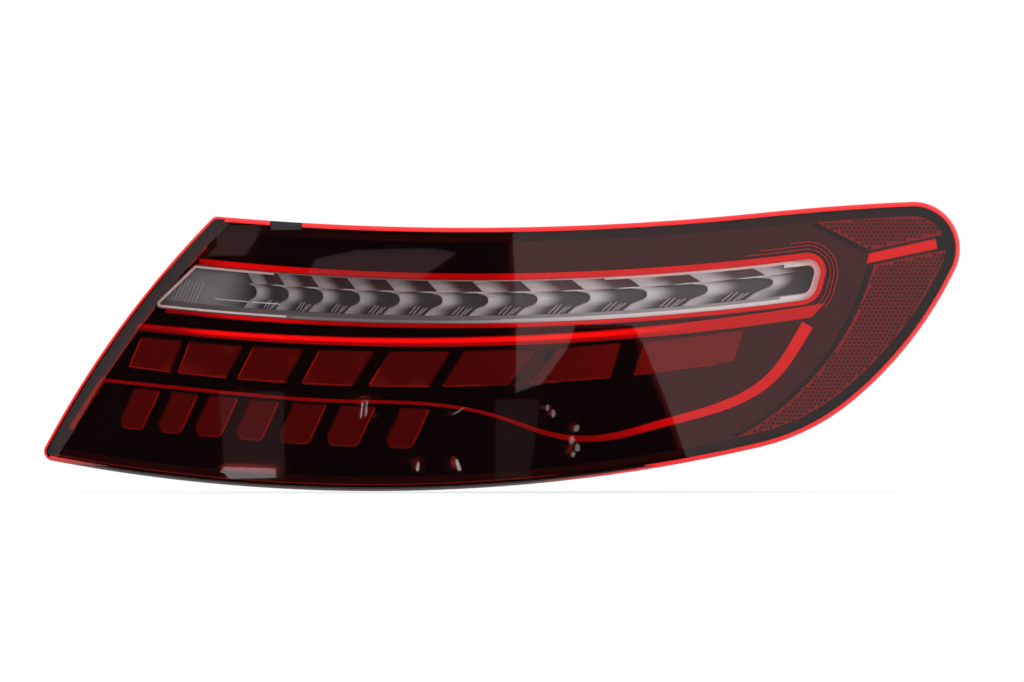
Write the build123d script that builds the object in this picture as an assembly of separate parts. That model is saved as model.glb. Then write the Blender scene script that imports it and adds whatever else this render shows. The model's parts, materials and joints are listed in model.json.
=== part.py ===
from build123d import *
from functools import lru_cache
import math
import os

# All sizes in mm. +Z is up, the lens faces -Y and the lamp is longest along X.
# The origin is where the main stud leaves its boss, on the mounting face.

# Lens face: three tangent arcs in plan, crowned from top to bottom.
LENS_FRONT_Y = -82.0
LENS_APEX_X = -130.0
PLAN_RADII = (1400.0, 700.0, 370.0)
PLAN_SLOPES = (-8.0, 4.5, 12.0, 50.0)
CROWN_RADIUS = 420.0
CROWN_Z = -8.0

# Outline seen from behind the car: tangent arcs (radius, turn) from the inboard foot, then the slanted
# edge with its bulge.
OUTLINE_START = (-239.3, -56.2)
OUTLINE_HEADING = -11.2
OUTLINE_ARCS = ((897.0, 24.1), (118.0, 26.6), (206.0, 24.6), (24.5, 118.5), (1315.0, 3.4), (1470.0, -11.15))
OUTLINE_SIDE_BULGE = 5.8
OUTLINE_PEAK = (-147.0, 69.0)
OUTLINE_FOOT_RADIUS = 5.0
OUTLINE_PEAK_RADIUS = 4.0

# Depths below the lens face, measured square to it.
LENS_WALL = 3.0
LENS_RIM_RADIUS = 2.4
SKIRT_FOOT = 23.2
FLANGE_FRONT = 24.0
FLANGE_BACK = 27.5
BEZEL_FRONT = 9.0
BEZEL_BACK = 11.0
BEZEL_FOOT = 17.0
REFLEX_FRONT = 5.5
GUIDE_FRONT = 6.5
CARRIER_FRONT = 14.5
CARRIER_BACK = 17.0
BAND_COLLAR = 11.2
BAND_RECESS = 14.5
BAND_BACK = 41.0
STOP_FRONT = 8.2
STOP_BACK = 13.5
STOP_CUP_BACK = 31.0
GUIDE_LEG_BACK = 28.0
GUIDE_LED_BACK = 28.8
TRIM_FRONT = 7.0
BOARD = 1.6
TUB_INSIDE = 58.0
TUB_OUTSIDE = 60.5

# Insets from the outline.
BEZEL_INSET = 3.9
BEZEL_WALL = 1.7
TUB_INSET = 6.5
TUB_WALL = 2.5
CARRIER_INSET = 6.0
INNER_INSET = 9.4
FIT_GAP = 0.25

# Clear band: corners of its two sagging edges, and its row of growing cells.
BAND_TOP = ((-158.1, 43.7), (168.5, 47.8))
BAND_BOTTOM = ((-179.4, 22.9), (163.0, 27.2))
BAND_TOP_SAG = 10.0
BAND_BOTTOM_SAG = 10.6
BAND_CELLS = 11
BAND_CELL_START = -126.0
BAND_CELL_PITCH = 16.6
BAND_CELL_GROWTH = 1.0745
BAND_DIVIDER = 0.27
DIVIDER_WALL = 0.9
FACET_RIDGES = 9
UPPER_LEAN = -8.0
LOWER_LEAN = 16.0
WINDOW_LAP = 0.5

# Light guides: the loop round the band, the lower bar and the hook.
LOOP_GAP = 0.95
LOOP_TOP_WIDTH = 3.1
LOOP_FOOT_WIDTH = 2.0
LOOP_SOFTNESS = 0.8
BAR_SOFTNESS = 1.1
HOOK_SOFTNESS = 0.5
BAR_TOP = ((-187.2, 14.0), (169.5, 24.4))
BAR_FOOT = ((-189.8, 10.4), (162.2, 16.9))
BAR_TOP_SAG = 12.2
BAR_FOOT_SAG = 11.7
HOOK_POINTS = (
    (-206.4, -15.6), (-145.6, -21.8), (-88.4, -26.3), (-34.8, -28.3), (-0.5, -34.8), (30.2, -44.7),
    (53.0, -45.7), (83.2, -38.5), (112.8, -30.2), (139.9, -15.6), (155.0, 4.2), (160.2, 13.2),
)
HOOK_WIDTHS = (1.7, 6.4)
HOOK_SPREAD_FROM = 0.52
HOOK_STEPS = 26
HOOK_LEG = ((-206.4, -15.6), (-222.4, -40.2))
HOOK_LEG_WIDTH = 2.8

# Stop cells: bars between them as (centre at the top, width, lean), and the two sagging edges.
STOP_TOP = ((-187.2, 6.8), (128.0, 10.6))
STOP_FOOT = ((-192.9, -8.8), (123.0, -6.2))
STOP_TOP_SAG = 9.6
STOP_FOOT_SAG = 11.7
STOP_BARS = (
    (-188.0, 3.6, 6.8), (-163.0, 3.6, 6.4), (-130.8, 5.2, 8.6), (-97.9, 8.0, 9.4), (-61.1, 7.8, 11.7),
    (-22.1, 6.8, 11.6), (25.5, 9.4, 16.0), (68.6, 11.4, 5.2), (129.4, 4.0, 5.2),
)

# Fog cells under the hook: left end and width at the top.
FOG_CELLS = (
    (-189.8, 13.5), (-170.0, 13.5), (-150.8, 15.1), (-129.5, 15.1),
    (-107.1, 17.1), (-82.7, 18.2), (-51.5, 15.1),
)
FOG_LEAN = 9.4
FOG_HEIGHT = 20.5
FOG_GAP = 2.4
FOG_FOOT_RADIUS = 4.0
CELL_LAP = 1.0

# Reflex patches and the side marker between them.
REFLEX_EDGE = 7.6
REFLEX_INNER_ARC = ((124.0, -45.0), (171.0, -5.0), (195.5, 46.0))
MARKER_CORNERS = ((192.4, 50.4), (227.8, 58.2), (228.6, 52.8), (191.2, 45.0))

# Locating tab of the housing, seen as a gap in the rim.
TAB_SPAN = (-119.0, -103.0)
TAB_FOOT = 62.4

# Back of the lamp.
STUD_RADIUS = 3.0
STUD_LENGTH = 24.0
STUD_COLLAR = (7.0, 2.0)
STUD_ROOT = (4.0, 10.0)
BOSS_RADIUS = 9.0
STUDS = ((0.0, 0.0, 0.0), (-168.0, -18.0, 0.0), (132.0, 14.0, 36.0))
BALL_PLACE = (203.0, 34.0)
BALL_RADIUS = 6.0
POST_RADIUS = 3.6
SCREW_POSTS = ((-116.0, 51.0), (12.0, 50.0), (-152.0, -54.5), (-40.0, -58.0), (62.0, -54.0))
PLAIN_POSTS = ((122.0, 58.0), (188.0, 2.0), (217.0, 34.0))
SCREW_RADIUS = 1.5
SCREW_HEAD = (3.0, 2.2)
DRIVER_CENTRE = (-88.0, 27.0)
DRIVER_SIZE = (92.0, 44.0)
DRIVER_SEAT_Y = -13.0
DRIVER_FINS = 9
FIN_HEIGHT = 7.0
PLUG_CENTRE = (-78.0, -38.0)
PLUG_PLATEAU = (76.0, 36.0)
PLUG_SEAT_Y = -10.0
PLUG_SHROUD = (34.0, 16.0)
PLUG_NECK = (30.0, 12.0)
PLUG_LENGTH = 18.0
PLUG_WALL = 1.8
PLUG_PINS = (4, 2)
GASKET_HEIGHT = 11.0
VENTS = ((40.0, 32.0), (92.0, -22.0))
VENT_RADIUS = 4.0
VENT_LENGTH = 9.0
RIB_HEIGHT = 3.0
RIB_XS = (-205.0, -140.0, -20.0, 28.0, 70.0, 108.0, 160.0, 184.0)
RIB_ZS = (-52.0, 52.0)

FAR = 400.0


def plan_arcs():
    """Centre, radius and slope range of every arc of the lens in plan."""
    arcs = []
    centre = Vector(LENS_APEX_X, LENS_FRONT_Y + PLAN_RADII[0])
    for i, radius in enumerate(PLAN_RADII):
        if i:
            slope = math.radians(PLAN_SLOPES[i])
            centre += Vector(math.sin(slope), -math.cos(slope)) * (PLAN_RADII[i - 1] - radius)
        arcs.append((centre, radius, PLAN_SLOPES[i], PLAN_SLOPES[i + 1]))
    return arcs


ARCS = plan_arcs()


def face_point(x, z, depth):
    """Y and plan slope (degrees) of the point at x, z that lies a given depth below the lens face."""
    for centre, radius, start, end in ARCS:
        rho = radius - CROWN_RADIUS + math.sqrt((CROWN_RADIUS - depth) ** 2 - (z - CROWN_Z) ** 2)
        slope = math.degrees(math.asin(max(-1.0, min(1.0, (x - centre.X) / rho))))
        if slope <= end or end == PLAN_SLOPES[-1]:
            return centre.Y - rho * math.cos(math.radians(slope)), slope


@lru_cache(maxsize=None)
def shell(front, back):
    """Solid between two depths below the lens face."""
    reach = 112.0
    solid = None
    for centre, radius, start, end in ARCS:
        base = radius - CROWN_RADIUS
        edges = []
        for depth in (front, back):
            bow = CROWN_RADIUS - depth
            side = math.sqrt(bow**2 - reach**2)
            low, high = (base + side, CROWN_Z - reach), (base + side, CROWN_Z + reach)
            edges.append(Bezier(low, (base + bow**2 / side, CROWN_Z), high, weights=(1, side / bow, 1)))
        edges.append(Line(edges[0] @ 0, edges[1] @ 0))
        edges.append(Line(edges[0] @ 1, edges[1] @ 1))
        sector = revolve(Plane.XZ * make_face(edges), Axis.Z, revolution_arc=end - start)
        sector = Pos(centre.X, centre.Y, 0) * Rot(0, 0, start - 90) * sector
        solid = sector if solid is None else solid + sector
    return solid


def prism(sketch):
    """Column along Y through a flat shape drawn in X and Z."""
    return extrude(Plane.XZ * sketch, amount=FAR, both=True)


def layer(sketch, front, back):
    """Piece of the lens form between two depths, cut to a flat shape."""
    return shell(front, back) & prism(sketch)


def slab_y(front_y, back_y):
    """Flat slab between two planes square to Y."""
    return Pos(0, (front_y + back_y) / 2, 0) * Box(900, back_y - front_y, 900)


def polygon(points):
    """Flat shape with straight sides."""
    return make_face(Polyline(*points, close=True))


def block(x, z, width, height):
    """Flat rectangle centred on x, z."""
    return Pos(x, z) * Rectangle(width, height)


def disc(x, z, radius):
    """Flat disc centred on x, z."""
    return Pos(x, z) * Circle(radius)


def sag_arc(ends, sag):
    """Arc between two points that hangs below its chord."""
    (x0, z0), (x1, z1) = ends
    return ThreePointArc(ends[0], ((x0 + x1) / 2, (z0 + z1) / 2 - sag), ends[1])


def sag_z(ends, sag, x):
    """Height of a hanging edge at x."""
    (x0, z0), (x1, z1) = ends
    t = (x - x0) / (x1 - x0)
    return z0 + (z1 - z0) * t - 4 * sag * t * (1 - t)


def strip(top, top_sag, foot, foot_sag):
    """Flat shape between two hanging edges."""
    upper = sag_arc(top, top_sag)
    lower = sag_arc(foot, foot_sag)
    return make_face([upper, lower, Line(upper @ 0, lower @ 0), Line(upper @ 1, lower @ 1)])


def corners_near(sketch, points):
    """Corners of a flat shape that lie nearest to the given points."""
    return [sketch.vertices().sort_by_distance((x, z, 0))[0] for x, z in points]


def join(shapes):
    """One shape from several that touch or overlap."""
    shapes = list(shapes)
    return shapes[0] + shapes[1:] if len(shapes) > 1 else shapes[0]


def sharp_outline():
    """Closed outline of the lamp with its two inboard corners left sharp."""
    heading = math.radians(OUTLINE_HEADING)
    start, tangent = Vector(*OUTLINE_START), Vector(math.cos(heading), math.sin(heading))
    edges = []
    for radius, turn in OUTLINE_ARCS:
        edges.append(JernArc(start, tangent, radius, turn))
        start, tangent = edges[-1] @ 1, edges[-1] % 1
    foot = Vector(*OUTLINE_START)
    chord = foot - start
    out = Vector(chord.Y, -chord.X).normalized() * OUTLINE_SIDE_BULGE
    edges.append(ThreePointArc(start, (start + foot) * 0.5 + out, foot))
    return make_face(edges)


SHARP_OUTLINE = sharp_outline()


@lru_cache(maxsize=None)
def inset(amount):
    """Outline drawn in by an amount, with its two inboard corners rounded."""
    sketch = offset(SHARP_OUTLINE, -amount) if amount else SHARP_OUTLINE
    foot = sketch.vertices().sort_by(Axis.X)[0]
    sketch = fillet(foot, max(OUTLINE_FOOT_RADIUS - amount, 1.0))
    peak = sketch.vertices().sort_by_distance(OUTLINE_PEAK)[0]
    return fillet(peak, max(OUTLINE_PEAK_RADIUS - amount, 1.0))


OUTLINE = inset(0)


def ring(outer, inner):
    """Flat ring between two insets of the outline."""
    return inset(outer) - inset(inner)


def band_shape():
    """Clear band: sagging strip with a slanted left end and a rounded right end."""
    sketch = strip(BAND_TOP, BAND_TOP_SAG, BAND_BOTTOM, BAND_BOTTOM_SAG)
    sketch = fillet(corners_near(sketch, [BAND_TOP[1]]), 6.0)
    sketch = fillet(corners_near(sketch, [BAND_BOTTOM[1]]), 9.0)
    return fillet(corners_near(sketch, [BAND_TOP[0], BAND_BOTTOM[0]]), 1.5)


BAND = band_shape()


def band_edge(x, share):
    """Height inside the band at x: share 0 is its top edge, 1 its foot."""
    top = sag_z(BAND_TOP, BAND_TOP_SAG, x)
    foot = sag_z(BAND_BOTTOM, BAND_BOTTOM_SAG, x)
    return top + (foot - top) * share


def band_cells():
    """Left end and pitch of every cell of the band, with the short end cell."""
    x, pitch = BAND_CELL_START, BAND_CELL_PITCH
    cells = []
    for _ in range(BAND_CELLS):
        cells.append((x, pitch))
        x += pitch
        pitch *= BAND_CELL_GROWTH
    cells.append((x, BAND_TOP[1][0] + 4 - x))
    return cells


CELLS = band_cells()


def tooth_line(x, pitch):
    """Right end of an upper chamber: a slant that leans out towards the divider."""
    foot = band_edge(x, BAND_DIVIDER) + DIVIDER_WALL / 2
    return [(x - 0.34 * pitch, band_edge(x, 0) + 3), (x - 0.10 * pitch, foot)]


def upper_chamber(index):
    """Flat shape of an upper chamber."""
    x, pitch = CELLS[index]
    before = CELLS[index - 1][1] if index else pitch / BAND_CELL_GROWTH
    left = tooth_line(x, before)
    right = tooth_line(x + pitch, pitch)
    return polygon(left + right[::-1])


def lobe_line(x, pitch):
    """Right end of a lower chamber: a round lobe below the divider, then a slant to the foot."""
    top, waist = band_edge(x, BAND_DIVIDER) - DIVIDER_WALL / 2, band_edge(x, 0.70)
    bulge = min(0.24 * pitch, 0.45 * (top - waist))
    head = Vector(x - bulge, top)
    neck = Vector(x - 0.85 * bulge, waist)
    tail = Vector(x - 0.42 * pitch, band_edge(x, 1) - 3)
    return [ThreePointArc(head, (x, (top + waist) / 2), neck), Line(neck, tail)]


def lower_chamber(index):
    """Flat shape of a lower chamber."""
    x, pitch = CELLS[index]
    before = CELLS[index - 1][1] if index else pitch / BAND_CELL_GROWTH
    left = lobe_line(x, before)
    right = lobe_line(x + pitch, pitch)
    return make_face(left + right + [Line(left[0] @ 0, right[0] @ 0), Line(left[1] @ 1, right[1] @ 1)])


def scoop(index, lean, extra=0.0):
    """Upright round cutter whose far side is the floor of a cell."""
    x, pitch = CELLS[index]
    middle = x + pitch / 2
    z = band_edge(middle, 0.5)
    y, slope = face_point(middle, z, 0.0)
    radius = 0.74 * pitch
    depth = BAND_RECESS + 0.5 + 0.47 * pitch - radius
    place = Pos(middle, y, z) * Rot(0, 0, slope) * Pos(0.19 * pitch, depth, 0) * Rot(0, lean, 0)
    return place * Rot(0, 0, -90) * Cylinder(radius - extra, 90)


def tab_shape(grow):
    """Flat shape of the locating tab at the top edge."""
    x0, x1 = TAB_SPAN
    low = TAB_FOOT - grow
    return polygon([(x0 - grow, low), (x1 + grow, low), (x1 + grow, 100), (x0 - grow, 100)])


def rod(x, z, front_y, back_y, radius):
    """Round bar along Y between two planes."""
    return Pos(x, (front_y + back_y) / 2, z) * Rot(90, 0, 0) * Cylinder(radius, back_y - front_y)


def plate(sketch, front_y, back_y):
    """Flat piece between two planes square to Y."""
    return Pos(0, back_y, 0) * extrude(Plane.XZ * sketch, amount=back_y - front_y)


def behind_tub(sketch, back_y, depth=TUB_INSIDE + 1):
    """Column from inside the tub floor back to a plane square to Y."""
    return layer(sketch, depth, 170) & slab_y(-FAR, back_y)


def at_depth(edge, depth):
    """True for an edge that lies at a depth below the lens face."""
    points = [edge @ share for share in (0.1, 0.5, 0.9)]
    return all(abs(p.Y - face_point(p.X, p.Z, depth)[0]) < 0.02 for p in points)


def on_wall(edge, sketch):
    """True for an edge that lies over the rim of a flat shape."""
    points = [edge @ share for share in (0.1, 0.5, 0.9)]
    wires = sketch.wires()
    return all(min(w.distance_to(Vector(p.X, p.Z, 0)) for w in wires) < 0.02 for p in points)


def soften(solid, sketch, depth, radius):
    """Round the rim of a piece's front face."""
    return fillet([e for e in solid.edges() if at_depth(e, depth) and on_wall(e, sketch)], radius)


def lens_parts():
    """Smoked lens with its skirt, the clear window and the sealant bead."""
    body = layer(OUTLINE, 0, SKIRT_FOOT)
    body = soften(body, OUTLINE, 0.0, LENS_RIM_RADIUS)
    cavity = layer(inset(LENS_WALL), LENS_WALL, SKIRT_FOOT + 2)
    notch = prism(tab_shape(0.3))
    window = offset(BAND, WINDOW_LAP)
    return {
        "outer_lens": body - cavity - notch - prism(window),
        "clear_window": layer(window, 0, LENS_WALL),
        "lens_sealant": layer(ring(0.4, 2.6), SKIRT_FOOT, FLANGE_FRONT) - notch,
    }


def loop_shape():
    """Flat shape of the guide round the band, widest above it and open at its left end."""
    width = (LOOP_TOP_WIDTH + LOOP_FOOT_WIDTH) / 2
    outside = Pos(0, (LOOP_TOP_WIDTH - LOOP_FOOT_WIDTH) / 2) * offset(BAND, LOOP_GAP + width)
    left = polygon([(-154.5, 80), (-156.5, 40), (-173, 26), (-175.5, 0), (-300, 0), (-300, 80)])
    return outside - offset(BAND, LOOP_GAP) - left


def bar_shape():
    """Flat shape of the lower guide."""
    return strip(BAR_TOP, BAR_TOP_SAG, BAR_FOOT, BAR_FOOT_SAG)


def hook_shape(grow):
    """Flat shape of the hook guide drawn out by an amount, thin at the left and spread at its right end."""
    centre = Spline(*HOOK_POINTS)
    above, below = [], []
    for i in range(HOOK_STEPS + 1):
        share = i / HOOK_STEPS
        spread = max(0.0, share - HOOK_SPREAD_FROM) / (1 - HOOK_SPREAD_FROM)
        half = (HOOK_WIDTHS[0] + (HOOK_WIDTHS[1] - HOOK_WIDTHS[0]) * spread) / 2 + grow
        along = centre % share
        side = Vector(-along.Y, along.X) * half
        above.append(centre @ share + side)
        below.append(centre @ share - side)
    above[-1] += along * grow
    below[-1] += along * grow
    edges = [Spline(*above), Spline(*below), Line(above[0], below[0]), Line(above[-1], below[-1])]
    (x0, z0), (x1, z1) = HOOK_LEG
    leg = SlotCenterToCenter(math.hypot(x1 - x0, z1 - z0), HOOK_LEG_WIDTH + 2 * grow)
    turn = math.degrees(math.atan2(z1 - z0, x1 - x0))
    return make_face(edges) + Pos((x0 + x1) / 2, (z0 + z1) / 2) * Rot(0, 0, turn) * leg


def hook_z(x):
    """Height of the middle of the hook at x, on its left run."""
    for (x0, z0), (x1, z1) in zip(HOOK_POINTS, HOOK_POINTS[1:]):
        if x <= x1:
            return z0 + (z1 - z0) * (x - x0) / (x1 - x0)


def stop_cells():
    """Flat shapes of the slanted stop cells."""
    cells = []
    for (x0, w0, lean0), (x1, w1, lean1) in zip(STOP_BARS, STOP_BARS[1:]):
        left, right = x0 + w0 / 2, x1 - w1 / 2
        points = [(left, sag_z(STOP_TOP, STOP_TOP_SAG, left)), (right, sag_z(STOP_TOP, STOP_TOP_SAG, right))]
        for x in (right - lean1, left - lean0):
            points.append((x, sag_z(STOP_FOOT, STOP_FOOT_SAG, x)))
        cell = polygon(points)
        cells.append(fillet(cell.vertices(), 1.0))
    return cells


def fog_cells():
    """Flat shapes of the fog cells, slanted with rounded feet."""
    cells = []
    for x, width in FOG_CELLS:
        top = [(x, hook_z(x) - FOG_GAP), (x + width, hook_z(x + width) - FOG_GAP)]
        foot = [(px - FOG_LEAN, pz - FOG_HEIGHT) for px, pz in top[::-1]]
        cell = polygon(top + foot)
        cell = fillet(corners_near(cell, foot), FOG_FOOT_RADIUS)
        cells.append(fillet(corners_near(cell, top), 1.0))
    return cells


LOOP = loop_shape()
BAR = bar_shape()
HOOK = hook_shape(0)
STOPS = stop_cells()
FOGS = fog_cells()
MARKER = polygon(MARKER_CORNERS)


def stop_strip(grow):
    """Flat shape that takes in every stop cell."""
    whole = strip(STOP_TOP, STOP_TOP_SAG, STOP_FOOT, STOP_FOOT_SAG)
    return offset(whole, grow)


def fog_strip(grow):
    """Flat shape that takes in every fog cell."""
    first, last = FOG_CELLS[0], FOG_CELLS[-1]
    end = last[0] + last[1]
    xs = [first[0] + (end - first[0]) * i / 4 for i in range(5)]
    top = [(x, hook_z(x) - FOG_GAP) for x in xs]
    foot = [(x - FOG_LEAN, z - FOG_HEIGHT) for x, z in top[::-1]]
    return offset(polygon(top + foot), grow)


LEG_SPOTS = {
    "loop": [(-147.5, 45.1, 6.0, 5.0), (-171.5, 20.1, 6.0, 4.0)],
    "bar": [(-180.5, 11.3, 6.0, 6.0)],
    "hook": [(-200.5, -16.2, 6.0, 4.0)],
    "marker": [(206.0, 50.8, 7.0, 8.0)],
}


def guide_parts():
    """Light guides: rounded front bars on the carrier, with legs that run back to their LEDs."""
    guides = {
        "loop": ("frame_light_guide", LOOP, LOOP_SOFTNESS),
        "bar": ("lower_light_guide", BAR, BAR_SOFTNESS),
        "hook": ("hook_light_guide", HOOK, HOOK_SOFTNESS),
        "marker": ("side_marker_guide", MARKER, BAR_SOFTNESS),
    }
    parts = {}
    for key, (name, shape, softness) in guides.items():
        front = soften(layer(shape, GUIDE_FRONT, CARRIER_FRONT), shape, GUIDE_FRONT, softness)
        legs = [layer(shape & block(*spot), CARRIER_FRONT - 1, GUIDE_LEG_BACK) for spot in LEG_SPOTS[key]]
        parts[name] = join([front] + legs)
    boards = [
        block(-147.5, 48.2, 13, 9) - offset(BAND, LOOP_GAP),
        polygon([(-184.5, 8.9), (-176.5, 8.9), (-167.5, 18), (-167.5, 21), (-176, 21), (-184.5, 15)])
        - offset(BAND, LOOP_GAP),
        block(-200.5, -15, 12, 9),
        block(206, 52, 14, 10),
    ]
    parts["guide_led_boards"] = Compound(
        children=[layer(b & inset(INNER_INSET), GUIDE_LED_BACK, GUIDE_LED_BACK + BOARD).solid() for b in boards]
    )
    chips = [block(x, z, 2.4, 1.6) for spots in LEG_SPOTS.values() for x, z, w, h in spots]
    parts["guide_leds"] = Compound(
        children=[layer(chip, GUIDE_LEG_BACK, GUIDE_LED_BACK).solid() for chip in chips]
    )
    return parts


def prism_spot(index):
    """Centre of the ribbed prism low in a cell of the band."""
    x, pitch = CELLS[index]
    middle = x + 0.46 * pitch
    return middle, band_edge(middle, 0.76)


def band_parts():
    """Silver band: reflector with its cells, ribbed prisms, bright trim, board and heat spreader."""
    grown = offset(BAND, 0.8)
    body = layer(grown, BAND_COLLAR, 22.5)
    body += layer(grown & inset(INNER_INSET), 22, BAND_BACK)
    flange = offset(BAND, 5) & inset(CARRIER_INSET)
    flange -= [block(x, z, w + 0.5, h + 0.5) for x, z, w, h in LEG_SPOTS["loop"]]
    body += layer(flange, CARRIER_BACK, CARRIER_BACK + 2.2)
    cutters = [layer(BAND, BAND_COLLAR - 1, BAND_RECESS)]
    for i in range(BAND_CELLS + 1):
        cutters.append(prism(upper_chamber(i) & BAND) & scoop(i, UPPER_LEAN))
        cutters.append(prism(lower_chamber(i) & BAND) & scoop(i, LOWER_LEAN))
    facet = BAND & polygon([(-200, 0), (-134, 0), (-134, 60), (-200, 60)])
    ridges = [
        block(-161, band_edge(-161, (i + 0.5) / FACET_RIDGES), 27, 1.0) & facet for i in range(FACET_RIDGES)
    ]
    cutters.append(layer(facet, BAND_RECESS - 1, 20.5) - layer(join(ridges), 18.3, 21))
    holes = [prism(block(*prism_spot(i), 4.0, 3.4)) & shell(16, BAND_BACK + 1) for i in range(BAND_CELLS)]
    reflector = body - cutters - holes
    prisms, leds = [], []
    for i in range(BAND_CELLS):
        x, z = prism_spot(i)
        size = 0.7 + 0.022 * CELLS[i][1]
        bars = [
            polygon([
                (x + (k - 2.2) * 1.7 * size, z - 2.6 * size), (x + (k - 1.6) * 1.7 * size, z - 2.6 * size),
                (x + (k - 0.6) * 1.7 * size, z + 2.6 * size), (x + (k - 1.2) * 1.7 * size, z + 2.6 * size),
            ])
            for k in range(4)
        ]
        base = polygon([
            (x - 4.0 * size, z - 2.9 * size), (x + 2.6 * size, z - 2.9 * size),
            (x + 4.4 * size, z + 2.9 * size), (x - 2.2 * size, z + 2.9 * size),
        ])
        floor = scoop(i, LOWER_LEAN) & shell(BAND_RECESS + 0.3, BAND_BACK)
        room = lower_chamber(i) & BAND
        foot = prism(base & room) & (floor - scoop(i, LOWER_LEAN, 0.9))
        ribs = prism(join(bars) & room) & (floor - scoop(i, LOWER_LEAN, 2.2))
        prisms.append((foot + ribs).solid())
        leds.append(layer(block(x, z, 2.8, 2.4), BAND_BACK - 1.0, BAND_BACK).solid())
    right = polygon([(148, 0), (300, 0), (300, 100), (148, 100)])
    trim = layer(grown - BAND, TRIM_FRONT, BAND_COLLAR)
    trim += layer((grown - offset(BAND, -2.4)) & right, TRIM_FRONT, BAND_COLLAR)
    plan = offset(BAND, -0.5) & inset(INNER_INSET)
    return {
        "band_reflector": reflector,
        "band_prisms": Compound(children=prisms),
        "band_leds": Compound(children=leds),
        "window_trim": trim,
        "band_led_board": layer(plan, BAND_BACK, BAND_BACK + BOARD),
        "heat_spreader": layer(offset(plan, -1.0), BAND_BACK + BOARD, BAND_BACK + BOARD + 1.5),
    }


def cell_parts(prefix, cells, strip_of):
    """Inner lens with a raised block per cell, its cups, board and LEDs."""
    lens = layer(strip_of(CELL_LAP), BEZEL_BACK, STOP_BACK)
    lens += [layer(cell, STOP_FRONT, BEZEL_BACK + 0.5) for cell in cells]
    body = layer(strip_of(CELL_LAP - 0.4), STOP_BACK, STOP_CUP_BACK)
    body += layer(strip_of(CELL_LAP + 0.9), CARRIER_BACK, CARRIER_BACK + 2.0)
    cups = [layer(offset(cell, -0.6), STOP_BACK - 1, STOP_CUP_BACK - 2) for cell in cells]
    spots = [cell.center() for cell in cells]
    holes = [prism(block(p.X, p.Y, 4.0, 4.0)) & shell(STOP_CUP_BACK - 3, STOP_CUP_BACK + 1) for p in spots]
    leds = [layer(block(p.X, p.Y, 2.8, 2.8), STOP_CUP_BACK - 1.0, STOP_CUP_BACK).solid() for p in spots]
    return {
        f"{prefix}_lens": lens,
        f"{prefix}_reflector": body - cups - holes,
        f"{prefix}_led_board": layer(strip_of(CELL_LAP - 0.8), STOP_CUP_BACK, STOP_CUP_BACK + BOARD),
        f"{prefix}_leds": Compound(children=leds),
    }


def reflex_shapes():
    """Flat shapes of the lower and the upper reflex patch, parted by the side marker."""
    start, bend, end = REFLEX_INNER_ARC
    (tx, tz), (ux, uz), (vx, vz), (wx, wz) = MARKER_CORNERS
    slope = (vz - wz) / (vx - wx)
    arc = ThreePointArc(start, bend, end)
    rim = Polyline(end, (end[0], 90), (280, 90), (280, -90), (start[0], -90), start)
    left, right = [wz - 1.4 + slope * (x - wx) for x in (150, 280)]
    under = polygon([(150, left), (280, right), (280, -90), (100, -90)])
    lower = inset(REFLEX_EDGE) & make_face([arc, rim]) & under
    top = tz + 1.8
    over = polygon([(166, 66), (tx + 0.6, top), (280, top + slope * (280 - tx)), (280, 95), (166, 95)])
    return lower, inset(REFLEX_EDGE) & over


def reflex_parts():
    """Reflex patches on the front of the bezel."""
    lower, upper = reflex_shapes()
    return {
        "lower_reflex": layer(lower, REFLEX_FRONT, BEZEL_FRONT),
        "upper_reflex": layer(upper, REFLEX_FRONT, BEZEL_FRONT),
    }


def bezel():
    """Gloss black mask with an opening for every lit part and a wall down to the housing."""
    mask = layer(inset(BEZEL_INSET), BEZEL_FRONT, BEZEL_BACK)
    mask += layer(ring(BEZEL_INSET, BEZEL_INSET + BEZEL_WALL), BEZEL_FRONT, BEZEL_FOOT)
    openings = [offset(shape, FIT_GAP) for shape in [LOOP, BAR, MARKER] + STOPS + FOGS]
    openings += [hook_shape(FIT_GAP), offset(BAND, 0.8 + FIT_GAP), tab_shape(0.3)]
    return mask - [prism(opening) for opening in openings]


def carrier():
    """Inner frame that the optics seat on."""
    frame = layer(inset(CARRIER_INSET), CARRIER_FRONT, CARRIER_BACK)
    lap = CELL_LAP - 0.4 + FIT_GAP
    openings = [offset(BAND, LOOP_GAP), stop_strip(lap), fog_strip(lap)]
    openings += [block(x, z, w + 0.5, h) for spots in LEG_SPOTS.values() for x, z, w, h in spots]
    openings += [disc(x, z, SCREW_RADIUS + 0.1) for x, z in SCREW_POSTS]
    frame -= [prism(shape) for shape in openings]
    for x, z in SCREW_POSTS:
        seat = screw_seat(x, z)
        frame -= rod(x, z, seat - 8, seat, SCREW_HEAD[0] + 0.3)
    return frame


def screw_seat(x, z):
    """Plane under the head of a carrier screw."""
    return face_point(x, z, CARRIER_FRONT)[0] + 1.0


def carrier_screws():
    """Pan-head screws that hold the carrier to the housing posts."""
    screws = []
    for x, z in SCREW_POSTS:
        seat = screw_seat(x, z)
        head = rod(x, z, seat - SCREW_HEAD[1], seat, SCREW_HEAD[0])
        head = fillet(head.edges().sort_by(Axis.Y)[0], 1.0)
        cross = Pos(x, seat - SCREW_HEAD[1], z) * (Box(3.4, 2.0, 0.7) + Box(0.7, 2.0, 3.4))
        screws.append((head + rod(x, z, seat, seat + 12, SCREW_RADIUS) - cross).solid())
    return Compound(children=screws)


def driver_spots(dx, dz):
    """Four corners round the middle of the driver."""
    x, z = DRIVER_CENTRE
    return [(x + sx * dx, z + sz * dz) for sx in (-1, 1) for sz in (-1, 1)]


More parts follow.
